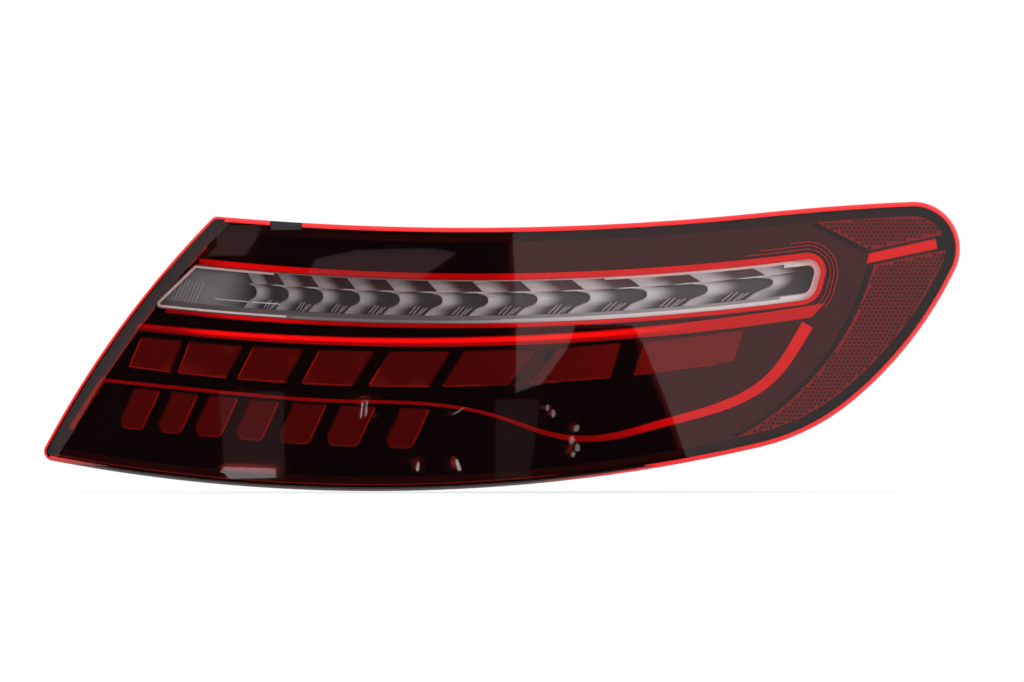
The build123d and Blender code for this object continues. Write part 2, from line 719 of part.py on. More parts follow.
def housing():
    """Black tub: rim flange, walls, floor, inner posts, bosses, plateaus and ribs."""
    tub_inner = TUB_INSET + TUB_WALL
    body = layer(ring(0, tub_inner), FLANGE_FRONT, FLANGE_BACK)
    body += layer(ring(LENS_WALL + 0.4, BEZEL_INSET + BEZEL_WALL), BEZEL_FOOT, FLANGE_FRONT + 1)
    body += layer(tab_shape(0) & inset(0.2), 0.8, FLANGE_FRONT + 1)
    body += layer(ring(TUB_INSET, tub_inner), FLANGE_FRONT, TUB_OUTSIDE)
    body += layer(inset(TUB_INSET), TUB_INSIDE, TUB_OUTSIDE)
    ribs = [block(x, 0, 2.0, 300) & inset(TUB_INSET) for x in RIB_XS]
    ribs += [block(0, z, 600, 2.0) & inset(TUB_INSET) for z in RIB_ZS]
    body += [layer(rib, TUB_OUTSIDE - 1, TUB_OUTSIDE + RIB_HEIGHT) for rib in ribs]
    posts = [disc(x, z, POST_RADIUS) for x, z in SCREW_POSTS + PLAIN_POSTS]
    body += [layer(post, CARRIER_BACK, TUB_INSIDE + 1) for post in posts]
    frame = block(*DRIVER_CENTRE, *DRIVER_SIZE)
    plateau = Pos(*PLUG_CENTRE) * RectangleRounded(*PLUG_PLATEAU, 9)
    body += behind_tub(frame, DRIVER_SEAT_Y, TUB_INSIDE - 5)
    body += behind_tub(plateau, PLUG_SEAT_Y)
    for x, z, y in STUDS:
        seat = y - STUD_COLLAR[1]
        cross = block(x, z, 2.2, 3.4 * BOSS_RADIUS) + block(x, z, 3.4 * BOSS_RADIUS, 2.2)
        body += [behind_tub(disc(x, z, BOSS_RADIUS), seat), behind_tub(cross, seat - 4)]
    x, z = BALL_PLACE
    body += behind_tub(disc(x, z, 7.5), ball_seat())
    for x, z in VENTS:
        floor_y = face_point(x, z, TUB_OUTSIDE)[0]
        body += rod(x, z, floor_y - 1, floor_y + VENT_LENGTH, VENT_RADIUS)
    bores = [disc(x, z, SCREW_RADIUS) for x, z in SCREW_POSTS]
    cuts = [prism(bore) & shell(CARRIER_BACK - 1, CARRIER_BACK + 13) for bore in bores]
    cuts.append(prism(block(*DRIVER_CENTRE, DRIVER_SIZE[0] - 12, DRIVER_SIZE[1] - 12)) & shell(45, 90))
    cuts += [rod(x, z, DRIVER_SEAT_Y - 9, DRIVER_SEAT_Y + 1, 1.2) for x, z in driver_spots(43, 19)]
    cuts.append(layer(offset(plateau, -2.5), TUB_INSIDE - 2, 170) & slab_y(-FAR, PLUG_SEAT_Y - 2.5))
    cuts.append(prism(block(*PLUG_CENTRE, *PLUG_NECK)) & slab_y(PLUG_SEAT_Y - 4, PLUG_SEAT_Y + 1))
    cuts += [rod(x, z, y - STUD_ROOT[1], y, STUD_ROOT[0]) for x, z, y in STUDS]
    cuts.append(rod(*BALL_PLACE, ball_seat() - 6, ball_seat() + 1, 3.0))
    for x, z in VENTS:
        floor_y = face_point(x, z, TUB_OUTSIDE)[0]
        cuts.append(rod(x, z, floor_y - 8, floor_y + VENT_LENGTH + 1, VENT_RADIUS - 1.6))
    return body - cuts


def ball_seat():
    """Plane on which the locating ball stands."""
    x, z = BALL_PLACE
    return face_point(x, z, TUB_OUTSIDE)[0] + 12


def fixing_parts():
    """Studs, locating ball, breather caps and body gasket on the back of the housing."""
    studs = []
    for x, z, y in STUDS:
        root = rod(x, z, y - STUD_ROOT[1], y, STUD_ROOT[0])
        collar = rod(x, z, y - STUD_COLLAR[1], y, STUD_COLLAR[0])
        shank = rod(x, z, y - 1, y + STUD_LENGTH, STUD_RADIUS)
        shank = chamfer(shank.edges().sort_by(Axis.Y)[-1], 0.9)
        studs.append((root + collar + shank).solid())
    x, z = BALL_PLACE
    seat = ball_seat()
    ball = rod(x, z, seat - 6, seat + 9, 3.0) + rod(x, z, seat, seat + 1.6, 5.2)
    ball += Pos(x, seat + 11, z) * Sphere(BALL_RADIUS)
    caps = []
    for x, z in VENTS:
        floor_y = face_point(x, z, TUB_OUTSIDE)[0]
        end = floor_y + VENT_LENGTH
        cap = rod(x, z, end - 6, end + 2, VENT_RADIUS + 2.2)
        cap = fillet(cap.edges().sort_by(Axis.Y)[-1], 1.6)
        caps.append((cap - rod(x, z, end - 8, end, VENT_RADIUS)).solid())
    plateau = Pos(*PLUG_CENTRE) * RectangleRounded(*PLUG_PLATEAU, 9)
    foam = offset(plateau, -0.8) - offset(plateau, -6.2)
    return {
        "mounting_studs": Compound(children=studs),
        "locating_ball": ball,
        "breather_caps": Compound(children=caps),
        "body_gasket": plate(foam, PLUG_SEAT_Y, PLUG_SEAT_Y + GASKET_HEIGHT),
    }


def driver_parts():
    """Driver: finned cover on a gasket, board under it with its components, and the screws."""
    x, z = DRIVER_CENTRE
    width, height = DRIVER_SIZE
    seat = DRIVER_SEAT_Y + 1.0
    window = block(x, z, width - 12, height - 12)
    holes = [disc(px, pz, 1.6) for px, pz in driver_spots(43, 19)]
    outline = Pos(x, z) * RectangleRounded(width, height, 3)
    cover = plate(outline, seat, seat + 3)
    pitch = (width - 20) / (DRIVER_FINS - 1)
    for i in range(DRIVER_FINS):
        fin_x = x - (width - 20) / 2 + i * pitch
        cover += plate(block(fin_x, z, 2.0, height - 10), seat + 2, seat + 3 + FIN_HEIGHT)
    cover += [rod(px, pz, seat - 5, seat + 1, 2.6) for px, pz in driver_spots(35, 11)]
    cover -= [prism(hole) for hole in holes]
    board_y = seat - 5
    screws = []
    for px, pz in driver_spots(43, 19):
        head = rod(px, pz, seat + 3, seat + 5, 2.8)
        head = fillet(head.edges().sort_by(Axis.Y)[-1], 0.8)
        cross = Pos(px, seat + 5, pz) * (Box(3.0, 2.0, 0.7) + Box(0.7, 2.0, 3.0))
        screws.append((head + rod(px, pz, seat - 8, seat + 3, 1.2) - cross).solid())
    chips = []
    for dx, dz, w, h, t in ((-26, 2, 12, 12, 5), (-8, -5, 9, 9, 2), (8, 4, 14, 8, 3), (24, -4, 10, 12, 6)):
        chips.append(plate(block(x + dx, z + dz, w, h), board_y - BOARD - t, board_y - BOARD).solid())
    return {
        "driver_cover": cover,
        "driver_gasket": plate(outline - window - holes, DRIVER_SEAT_Y, seat),
        "driver_board": plate(offset(window, -1.0), board_y - BOARD, board_y),
        "driver_chips": Compound(children=chips),
        "driver_screws": Compound(children=screws),
    }


def plug_parts():
    """Connector socket on its plateau, with its pins."""
    x, z = PLUG_CENTRE
    width, height = PLUG_SHROUD
    flange_y = PLUG_SEAT_Y + 2
    end = flange_y + PLUG_LENGTH
    shroud = Pos(x, z) * RectangleRounded(width, height, 2.5)
    socket = plate(Pos(x, z) * RectangleRounded(width + 8, height + 4, 3), PLUG_SEAT_Y, flange_y)
    socket += plate(shroud, PLUG_SEAT_Y, end)
    socket += plate(block(x, z, PLUG_NECK[0] - 0.4, PLUG_NECK[1] - 0.4), PLUG_SEAT_Y - 5, PLUG_SEAT_Y)
    socket -= plate(offset(shroud, -PLUG_WALL), flange_y + 2, end + 1)
    socket += plate(block(x, z + height / 2 + 0.9, 9, 2.0), flange_y, end - 5)
    keys = [block(x + dx, z - height / 2 + PLUG_WALL, 1.6, 2.0) for dx in (-9, 9)]
    socket += [plate(key, flange_y, end - 3) for key in keys]
    columns, rows = PLUG_PINS
    pins = []
    for i in range(columns):
        for k in range(rows):
            spot = block(x + (i - (columns - 1) / 2) * 5.6, z + (k - (rows - 1) / 2) * 4.6, 1.5, 0.8)
            pins.append(plate(spot, PLUG_SEAT_Y - 9, end - 5).solid())
    return {"connector_socket": socket - pins, "connector_pins": Compound(children=pins)}


def all_parts():
    """Every piece of the lamp by name."""
    parts = {"housing": housing(), "bezel": bezel()}
    parts.update({"optic_carrier": carrier(), "carrier_screws": carrier_screws()})
    parts.update(lens_parts())
    parts.update(band_parts())
    parts.update(guide_parts())
    parts.update(cell_parts("stop", STOPS, stop_strip))
    parts.update(cell_parts("fog", FOGS, fog_strip))
    parts.update(reflex_parts())
    parts.update(fixing_parts())
    parts.update(driver_parts())
    parts.update(plug_parts())
    return parts


os.makedirs("parts", exist_ok=True)
for name, piece in all_parts().items():
    export_step(piece, f"parts/{name}.step")
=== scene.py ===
import json
import logging
import math
from dataclasses import dataclass, field
from enum import Enum, IntEnum
from functools import partial
from typing import Any, Callable, Union

import bpy
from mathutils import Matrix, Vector


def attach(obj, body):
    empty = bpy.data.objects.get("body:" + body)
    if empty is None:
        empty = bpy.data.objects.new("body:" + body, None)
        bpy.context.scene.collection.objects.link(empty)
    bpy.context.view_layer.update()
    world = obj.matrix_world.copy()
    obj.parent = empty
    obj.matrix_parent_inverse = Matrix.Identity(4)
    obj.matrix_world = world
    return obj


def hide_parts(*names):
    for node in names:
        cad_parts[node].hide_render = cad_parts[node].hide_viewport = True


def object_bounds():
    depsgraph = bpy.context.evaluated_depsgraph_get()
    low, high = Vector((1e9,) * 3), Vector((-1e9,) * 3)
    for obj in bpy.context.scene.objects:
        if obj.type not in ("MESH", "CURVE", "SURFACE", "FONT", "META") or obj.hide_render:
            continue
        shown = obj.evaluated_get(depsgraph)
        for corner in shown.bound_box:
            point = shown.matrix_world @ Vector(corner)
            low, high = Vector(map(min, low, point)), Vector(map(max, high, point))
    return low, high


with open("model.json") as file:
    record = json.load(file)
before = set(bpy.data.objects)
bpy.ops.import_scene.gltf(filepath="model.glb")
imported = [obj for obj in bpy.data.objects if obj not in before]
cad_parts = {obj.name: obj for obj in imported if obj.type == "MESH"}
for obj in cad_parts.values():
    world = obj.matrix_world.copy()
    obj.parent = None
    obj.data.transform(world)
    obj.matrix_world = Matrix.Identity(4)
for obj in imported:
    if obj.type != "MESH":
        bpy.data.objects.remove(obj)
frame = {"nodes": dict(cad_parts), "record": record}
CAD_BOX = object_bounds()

LOG = logging.getLogger("tail_light")
MM = 0.001
BODY = "root"
CUT_TOLERANCE = 0.0005 * MM
MERGE_TOLERANCE = 0.002 * MM
START_RADIUS = 100 * MM
BLACK = (0.0, 0.0, 0.0)
WHITE = (1.0, 1.0, 1.0)

Colour = tuple[float, float, float]
Point = tuple[float, float]
Line = tuple[Point, Point]
Test = Callable[[float, float], bool]
Side = Callable[[float], float]


class Value:
    """One number of a shader: arithmetic on it adds Math nodes."""

    def __init__(self, bench: "NodeBench", socket: bpy.types.NodeSocket) -> None:
        """Wrap an output socket of a bench's tree."""
        self.bench = bench
        self.socket = socket

    def math(self, operation: str, *terms: "Number") -> "Value":
        """Add one Math node.

        Args:
            operation: Blender's name of the operation.
            terms: Numbers or values that it works on.

        Returns:
            The node's result.
        """
        node = self.bench.node("ShaderNodeMath", {"operation": operation}, dict(enumerate(terms)))
        return Value(self.bench, node.outputs[0])

    def __add__(self, other: "Number") -> "Value":
        """Sum."""
        return self.math("ADD", self, other)

    __radd__ = __add__

    def __sub__(self, other: "Number") -> "Value":
        """Difference."""
        return self.math("SUBTRACT", self, other)

    def __rsub__(self, other: "Number") -> "Value":
        """Difference from a number."""
        return self.math("SUBTRACT", other, self)

    def __mul__(self, other: "Number") -> "Value":
        """Product."""
        return self.math("MULTIPLY", self, other)

    __rmul__ = __mul__

    def __truediv__(self, other: "Number") -> "Value":
        """Quotient."""
        return self.math("DIVIDE", self, other)

    def __pow__(self, other: "Number") -> "Value":
        """Power."""
        return self.math("POWER", self, other)

    def __abs__(self) -> "Value":
        """Size without sign."""
        return self.math("ABSOLUTE", self)

    def fraction(self) -> "Value":
        """Part behind the point."""
        return self.math("FRACT", self)

    def at_most(self, other: "Number") -> "Value":
        """Smaller of two."""
        return self.math("MINIMUM", self, other)

    def at_least(self, other: "Number") -> "Value":
        """Larger of two."""
        return self.math("MAXIMUM", self, other)

    def rising_from(self, low: float) -> "Value":
        """Low where this is 0, and 1 where it is 1."""
        return low + (1 - low) * self

    def about_one(self, spread: float) -> "Value":
        """Number near 1 that grows by a spread as this goes from 0 to 1."""
        return 1 - spread / 2 + spread * self

    def ramp(self, low: float, high: float) -> "Value":
        """Smooth step from 0 at low to 1 at high.

        Args:
            low: Where the step starts.
            high: Where it ends.

        Returns:
            The step.
        """
        settings = {"interpolation_type": "SMOOTHSTEP"}
        inputs = {"Value": self, "From Min": low, "From Max": high}
        return Value(self.bench, self.bench.node("ShaderNodeMapRange", settings, inputs).outputs[0])

    def band(self, low: float, high: float, soft: float) -> "Value":
        """1 between two levels, with soft edges."""
        return self.ramp(low, low + soft) * (1 - self.ramp(high - soft, high))


Number = Union[float, Value]


class Owner(Enum):
    """What a node tree belongs to, by the type of its output node."""

    MATERIAL = "ShaderNodeOutputMaterial"
    WORLD = "ShaderNodeOutputWorld"


class NodeBench:
    """Node tree of one material or world, in which every node is made by one method."""

    def __init__(self, name: str, kind: Owner = Owner.MATERIAL) -> None:
        """Start an empty material or world.

        Args:
            name: Its name.
            kind: Which of the two.
        """
        self.kind = kind
        self.owner = (bpy.data.materials if kind is Owner.MATERIAL else bpy.data.worlds).new(name)
        self.owner.use_nodes = True
        self.tree = self.owner.node_tree
        self.tree.nodes.clear()

    def node(
        self, kind: str, settings: dict[str, Any] | None = None, inputs: dict[Union[str, int], Any] | None = None
    ) -> bpy.types.Node:
        """Add a node.

        Args:
            kind: Blender's type name.
            settings: Properties of the node, set first.
            inputs: Values or links of its sockets.

        Returns:
            The node.
        """
        node = self.tree.nodes.new(kind)
        for name, setting in (settings or {}).items():
            setattr(node, name, setting)
        for key, value in (inputs or {}).items():
            if isinstance(value, Value):
                self.tree.links.new(value.socket, node.inputs[key])
            elif isinstance(value, bpy.types.NodeSocket):
                self.tree.links.new(value, node.inputs[key])
            else:
                node.inputs[key].default_value = value
        return node

    def place(self, kind: str = "Object") -> bpy.types.NodeSocket:
        """Object coordinates in metres, or the piece's own UV map."""
        return self.node("ShaderNodeTexCoord").outputs[kind]

    def axes(self, kind: str = "Object") -> list[Value]:
        """X, Y and Z of the coordinates."""
        return [Value(self, part) for part in self.node("ShaderNodeSeparateXYZ", None, {0: self.place(kind)}).outputs]

    def streaks(self, along: Value, over: Value, seed: Value) -> Value:
        """Noise drawn out along one of two coordinates."""
        spot = self.node("ShaderNodeCombineXYZ", None, {0: along, 1: over, 2: seed}).outputs[0]
        return Value(self, self.node("ShaderNodeTexNoise", None, {"Vector": spot, "Scale": 1.0}).outputs["Fac"])

    def noise(self, size: float, detail: float = 3.0) -> Value:
        """Cloudy noise from 0 to 1 whose lumps have a given size in metres."""
        inputs = {"Vector": self.place(), "Scale": 1.0 / size, "Detail": detail}
        return Value(self, self.node("ShaderNodeTexNoise", None, inputs).outputs["Fac"])

    def cells(self, size: float) -> Value:
        """Distance to the nearest of scattered points, for pores."""
        inputs = {"Vector": self.place(), "Scale": 1.0 / size}
        return Value(self, self.node("ShaderNodeTexVoronoi", None, inputs).outputs["Distance"])

    def seen_by(self, *rays: str) -> Value:
        """1 for rays of the named kinds, else 0.

        Args:
            rays: Camera, Glossy or Transmission.

        Returns:
            The mask.
        """
        path = self.node("ShaderNodeLightPath").outputs
        first, *others = [Value(self, path[f"Is {ray} Ray"]) for ray in rays]
        for other in others:
            first = first.at_least(other)
        return first

    def blend(self, mask: Number, first: Any, second: Any) -> bpy.types.NodeSocket:
        """Mix two colours by a mask."""
        inputs = {0: mask, 6: self.padded(first), 7: self.padded(second)}
        return self.node("ShaderNodeMix", {"data_type": "RGBA"}, inputs).outputs[2]

    def bump(self, height: Value, distance: float) -> bpy.types.NodeSocket:
        """Normal of a relief whose full height is a distance in metres."""
        return self.node("ShaderNodeBump", None, {"Height": height, "Distance": distance}).outputs[0]

    def shader(self, kind: str, **inputs: Any) -> bpy.types.NodeSocket:
        """Shader of a kind; underscores in the names of its sockets stand for spaces."""
        named = {key.replace("_", " "): self.padded(value) for key, value in inputs.items()}
        return self.node(f"ShaderNode{kind}", None, named).outputs[0]

    @staticmethod
    def padded(value: Any) -> Any:
        """Colour with its alpha; anything else as it is."""
        return (*value, 1.0) if isinstance(value, tuple) and len(value) == 3 else value

    def mix(self, mask: Number, first: bpy.types.NodeSocket, second: bpy.types.NodeSocket) -> bpy.types.NodeSocket:
        """Mix two shaders by a mask."""
        return self.node("ShaderNodeMixShader", None, {0: mask, 1: first, 2: second}).outputs[0]

    def close(self, shader: bpy.types.NodeSocket) -> Union[bpy.types.Material, bpy.types.World]:
        """Send a shader to the output and give the material or world."""
        self.node(self.kind.value, None, {"Surface": shader})
        return self.owner

    def principled(self, **inputs: Any) -> bpy.types.Material:
        """Close with one Principled shader."""
        return self.close(self.shader("BsdfPrincipled", **inputs))


def dimmed(colour: Colour, share: float) -> Colour:
    """Colour times a share."""
    return tuple(min(1.0, channel * share) for channel in colour)


@dataclass(frozen=True)
class Moulded:
    """Opaque surface: mottled colour, uneven sheen and a fine grain in relief."""

    name: str
    colour: Colour
    roughness: float = 0.45
    mottle: float = 0.15
    mottle_size: float = 18 * MM
    grain_size: float = 0.7 * MM
    grain_height: float = 0.02 * MM
    metallic: float = 0.0
    gloss: float = 0.5
    grain_detail: float = 2.0
    uneven: float = 0.3

    def make(self) -> bpy.types.Material:
        """Build the finish's nodes.

        Returns:
            Material with the colour, sheen and grain.
        """
        bench = NodeBench(self.name)
        cloud, grain = bench.noise(self.mottle_size), bench.noise(self.grain_size, self.grain_detail)
        light, dark = dimmed(self.colour, 1 + self.mottle), dimmed(self.colour, 1 - self.mottle)
        return bench.principled(
            Base_Color=bench.blend(cloud, dark, light),
            Roughness=self.roughness * cloud.about_one(self.uneven),
            Metallic=self.metallic,
            Specular_IOR_Level=self.gloss,
            Normal=bench.bump(grain, self.grain_height),
        )


@dataclass(frozen=True)
class Metallised:
    """Bright metal skin: thin haze, a slight orange peel and painted shade that darkens the left end."""

    name: str
    colour: Colour = (0.80, 0.80, 0.82)
    roughness: float = 0.34
    metallic: float = 1.0
    left_shade_share: float = 1.0
    haze: float = 0.5
    haze_size: float = 14 * MM
    haze_low: float = 0.9
    peel_size: float = 3.0 * MM
    peel_height: float = 0.008 * MM
    peel_detail: float = 2.0
    left_shade_span: Point = (-0.06, 0.08)

    def make(self) -> bpy.types.Material:
        """Build the finish's nodes.

        Returns:
            Material with the metal and its haze.
        """
        bench = NodeBench(self.name)
        x, _, _ = bench.axes()
        cloud, peel = bench.noise(self.haze_size), bench.noise(self.peel_size, self.peel_detail)
        # Painted shade: the colour darkens towards the left end, on top of the random haze.
        bright = cloud.rising_from(self.haze_low) * x.ramp(*self.left_shade_span).rising_from(self.left_shade_share)
        return bench.principled(
            Base_Color=bench.blend(bright, BLACK, self.colour),
            Metallic=self.metallic,
            Roughness=self.roughness * cloud.about_one(self.haze),
            Normal=bench.bump(peel, self.peel_height),
        )


@dataclass(frozen=True)
class CellSkin:
    """Silver of one band cell: painted shade and reflection turn it from one end to the other, darker inboard, with
    faint streaks.
    """

    name: str
    # Colours at the two ends of the piece: painted light at one, painted shade and reflection at the other.
    left: Colour
    right: Colour
    turn: Point = (0.1, 0.6)
    inboard_shade_share: float = 0.55
    metallic: float = 0.35
    roughness: float = 0.3
    streak: float = 0.5
    streak_scale: tuple[float, float, float] = (1.2, 7.0, 40.0)
    left_shade_span: Point = (-0.09, 0.05)
    uneven: float = 0.4

    def make(self) -> bpy.types.Material:
        """Build the finish's nodes.

        Returns:
            Material with the turn of shade and the streaks.
        """
        bench = NodeBench(self.name)
        x, _, _ = bench.axes()
        u, v, _ = bench.axes("UV")
        along, over, seed = self.streak_scale
        streaks = bench.streaks(along * u, over * v, seed * x)
        # Painted shade: darker towards the inboard end, times the faint streaks; the colour turns across the piece as
        # painted shade and reflection.
        level = x.ramp(*self.left_shade_span).rising_from(self.inboard_shade_share) * streaks.about_one(self.streak)
        return bench.principled(
            Base_Color=bench.blend(level, BLACK, bench.blend(u.ramp(*self.turn), self.left, self.right)),
            Metallic=self.metallic,
            Roughness=self.roughness * streaks.about_one(self.uneven),
        )


@dataclass(frozen=True)
class ClearMoulding:
    """Clear or smoked lens plastic: tinted see-through body under a polished face."""

    name: str
    tint: Colour
    body: Colour
    cover: float = 0.3
    gloss: float = 1.0
    head_on: float = 0.017
    grazing_power: float = 5.0
    shades: Point = (0.8, 1.2)
    shade_size: float = 60 * MM
    polish: Point = (0.015, 0.01)
    coat_roughness: float = 0.01

    def make(self) -> bpy.types.Material:
        """Build the finish's nodes.

        Returns:
            Material that shows what lies behind it, with the gloss of its face; both sides of a wall alike.
        """
        bench = NodeBench(self.name)
        cloud = bench.noise(self.shade_size)
        through = bench.shader("BsdfTransparent", Color=self.tint)
        face = bench.shader(
            "BsdfPrincipled",
            Base_Color=bench.blend(cloud, *[dimmed(self.body, shade) for shade in self.shades]),
            Roughness=self.polish[0] + self.polish[1] * cloud,
            Specular_IOR_Level=self.gloss,
            Coat_Weight=self.gloss,
            Coat_Roughness=self.coat_roughness,
        )
        facing = Value(bench, bench.node("ShaderNodeLayerWeight", None, {"Blend": 0.5}).outputs["Facing"])
        mirrored = (facing**self.grazing_power).rising_from(self.head_on)
        return bench.close(bench.mix((self.cover + mirrored).at_most(1.0), through, face))


@dataclass(frozen=True)
class LitPlastic:
    """Red optic with painted light: saturated body with an emitted glow along it that stands for gathered room light,
    and optional painted shade towards the left.
    """

    name: str
    colour: Colour
    glow: Colour
    strength: float
    roughness: float = 0.18
    shaded_left_level: float = 1.0
    shaded_left_span: Point = (-0.1, 0.05)
    cloud_size: float = 22 * MM
    cloud_low: float = 0.8
    fine_size: float = 1.2 * MM
    fine_height: float = 0.006 * MM
    uneven: float = 0.4
    unlit_share: float = 0.15
    coat: Point = (0.5, 0.04)

    def make(self) -> bpy.types.Material:
        """Build the finish's nodes.

        Returns:
            Material with the body colour, its glow and faint moulding streaks.
        """
        bench = NodeBench(self.name)
        x, _, _ = bench.axes()
        cloud, fine = bench.noise(self.cloud_size), bench.noise(self.fine_size, 1.0)
        # Painted light level: a random cloud times painted shade towards the left; it sets both the colour and the
        # emitted glow.
        level = cloud.rising_from(self.cloud_low) * x.ramp(*self.shaded_left_span).rising_from(self.shaded_left_level)
        return bench.principled(
            Base_Color=bench.blend(level, dimmed(self.colour, self.unlit_share), self.colour),
            Roughness=self.roughness * fine.about_one(self.uneven),
            Coat_Weight=self.coat[0],
            Coat_Roughness=self.coat[1],
            Emission_Color=bench.blend(level, BLACK, self.glow),
            Emission_Strength=self.strength,
            Normal=bench.bump(fine, self.fine_height),
        )


@dataclass(frozen=True)
class GuideGlow:
    """Red light guide between two sagging edges, with painted light: an emitted bright core in a dimmer body, even
    towards the right, with painted shade at the left end and at a dip.
    """

    name: str
    over: tuple[Point, Point, float]
    under: tuple[Point, Point, float]
    core: Point
    rest: float
    even_from: Point
    strength: float
    dip: float = 0.0
    dip_span: Point = (-0.115, 0.02)
    dip_soft: float = 0.03
    left_end: Point = (-0.172, -0.147)
    end_share: float = 0.2
    core_soft: float = 0.18
    even_level: float = 0.43
    cloud_size: float = 18 * MM
    cloud_low: float = 0.85
    fine_size: float = 1.2 * MM
    roughness: Point = (0.16, 0.06)
    gloss: float = 0.3
    colour: Colour = (0.62, 0.004, 0.006)
    glow: Colour = (1.0, 0.012, 0.012)
    unlit_share: float = 0.3

    @staticmethod
    def below(edge: tuple[Point, Point, float], x: Value, z: Value) -> Value:
        """Distance of a place below a sagging edge given by its ends and its sag in millimetres."""
        centre, radius = arc_circle(edge[:2], edge[2])
        return ((x - centre.x) ** 2 + (z - centre.y) ** 2) ** 0.5 - radius

    def make(self) -> bpy.types.Material:
        """Build the finish's nodes.

        Returns:
            Material with the core and the body.
        """
        bench = NodeBench(self.name)
        x, _, z = bench.axes()
        top, foot = self.below(self.over, x, z), self.below(self.under, x, z)
        # Painted glow: a bright core band between the edges, dimmed as painted shade at the dip and at the left end.
        core = (top / (top - foot)).band(*self.core, self.core_soft)
        left = core.rising_from(self.rest) * (1 - self.dip * x.band(*self.dip_span, self.dip_soft))
        left = left * x.ramp(*self.left_end).rising_from(self.end_share)
        even = x.ramp(*self.even_from)
        level = left * (1 - even) + self.even_level / self.strength * even
        level = level * bench.noise(self.cloud_size).rising_from(self.cloud_low)
        return bench.principled(
            Base_Color=bench.blend(level, dimmed(self.colour, self.unlit_share), self.colour),
            Roughness=self.roughness[0] + self.roughness[1] * bench.noise(self.fine_size, 1.0),
            Specular_IOR_Level=self.gloss,
            Emission_Color=bench.blend(level, BLACK, self.glow),
            Emission_Strength=self.strength,
        )


@dataclass(frozen=True)
class LensRim:
    """Rounded edge of the lens with painted light: bright red with an emitted glow where light runs out of it, painted
    shade along the inboard foot.
    """

    name: str = "lens_rim"
    colour: Colour = (0.66, 0.010, 0.013)
    dark: Colour = (0.055, 0.047, 0.045)
    foot_end: Point = (0.01, 0.07)
    side_from: Point = (-0.0615, -0.0535)
    glow: float = 0.12
    cloud_size: float = 9 * MM
    cloud_low: float = 0.85
    roughness: float = 0.2
    gloss: float = 0.3

    def make(self) -> bpy.types.Material:
        """Build the finish's nodes.

        Returns:
            Material with the red edge and its dark stretch.
        """
        bench = NodeBench(self.name)
        x, _, z = bench.axes()
        # Painted light: lit towards the right and the top, painted shade along the inboard foot; the lit part also
        # glows.
        lit = x.ramp(*self.foot_end).at_least(z.ramp(*self.side_from))
        lit = lit * bench.noise(self.cloud_size).rising_from(self.cloud_low)
        return bench.principled(
            Base_Color=bench.blend(lit, self.dark, self.colour),
            Roughness=self.roughness,
            Specular_IOR_Level=self.gloss,
            Emission_Color=bench.blend(lit, BLACK, self.colour),
            Emission_Strength=self.glow,
        )


@dataclass(frozen=True)
class Board:
    """Circuit board: solder mask with copper tracks under it."""

    name: str
    mask: Colour = (0.02, 0.10, 0.05)
    track: Colour = (0.06, 0.22, 0.09)
    pitch: float = 2.6 * MM
    wander: Point = (4.0, 9 * MM)
    track_edge: Point = (0.30, 0.34)
    gap_size: float = 6 * MM
    gap_edge: Point = (0.42, 0.46)
    relief: float = 0.03 * MM
    roughness: Point = (0.32, 0.1)
    dust_size: float = 2 * MM
    coat: float = 0.3

    def make(self) -> bpy.types.Material:
        """Build the finish's nodes.

        Returns:
            Material with the mask and its tracks.
        """
        bench = NodeBench(self.name)
        x, _, _ = bench.axes()
        reach, size = self.wander
        wave = abs((x / self.pitch + reach * bench.noise(size, 1.0)).fraction() - 0.5)
        tracks = wave.ramp(*self.track_edge) * bench.noise(self.gap_size, 0.0).ramp(*self.gap_edge)
        return bench.principled(
            Base_Color=bench.blend(tracks, self.mask, self.track),
            Roughness=self.roughness[0] + self.roughness[1] * bench.noise(self.dust_size),
            Coat_Weight=self.coat,
            Normal=bench.bump(tracks, self.relief),
        )


@dataclass(frozen=True)
class Foam:
    """Foam or rubber: dark skin with pores, painted darker in their hollows as shade."""

    name: str
    colour: Colour
    pore: float = 0.8 * MM
    depth: float = 0.12 * MM
    roughness: float = 0.85
    pore_edge: Point = (0.05, 0.55)
    cloud_size: float = 12 * MM
    cloud_low: float = 0.7
    shades: Point = (0.45, 1.2)

    def make(self) -> bpy.types.Material:
        """Build the finish's nodes.

        Returns:
            Material with the pores.
        """
        bench = NodeBench(self.name)
        # The pores are painted darker as shade in their hollows, under a random cloud; the same mask sets their bump.
        pores = bench.cells(self.pore).ramp(*self.pore_edge) * bench.noise(self.cloud_size).rising_from(self.cloud_low)
        return bench.principled(
            Base_Color=bench.blend(pores, *[dimmed(self.colour, shade) for shade in self.shades]),
            Roughness=self.roughness,
            Normal=bench.bump(pores, self.depth),
        )


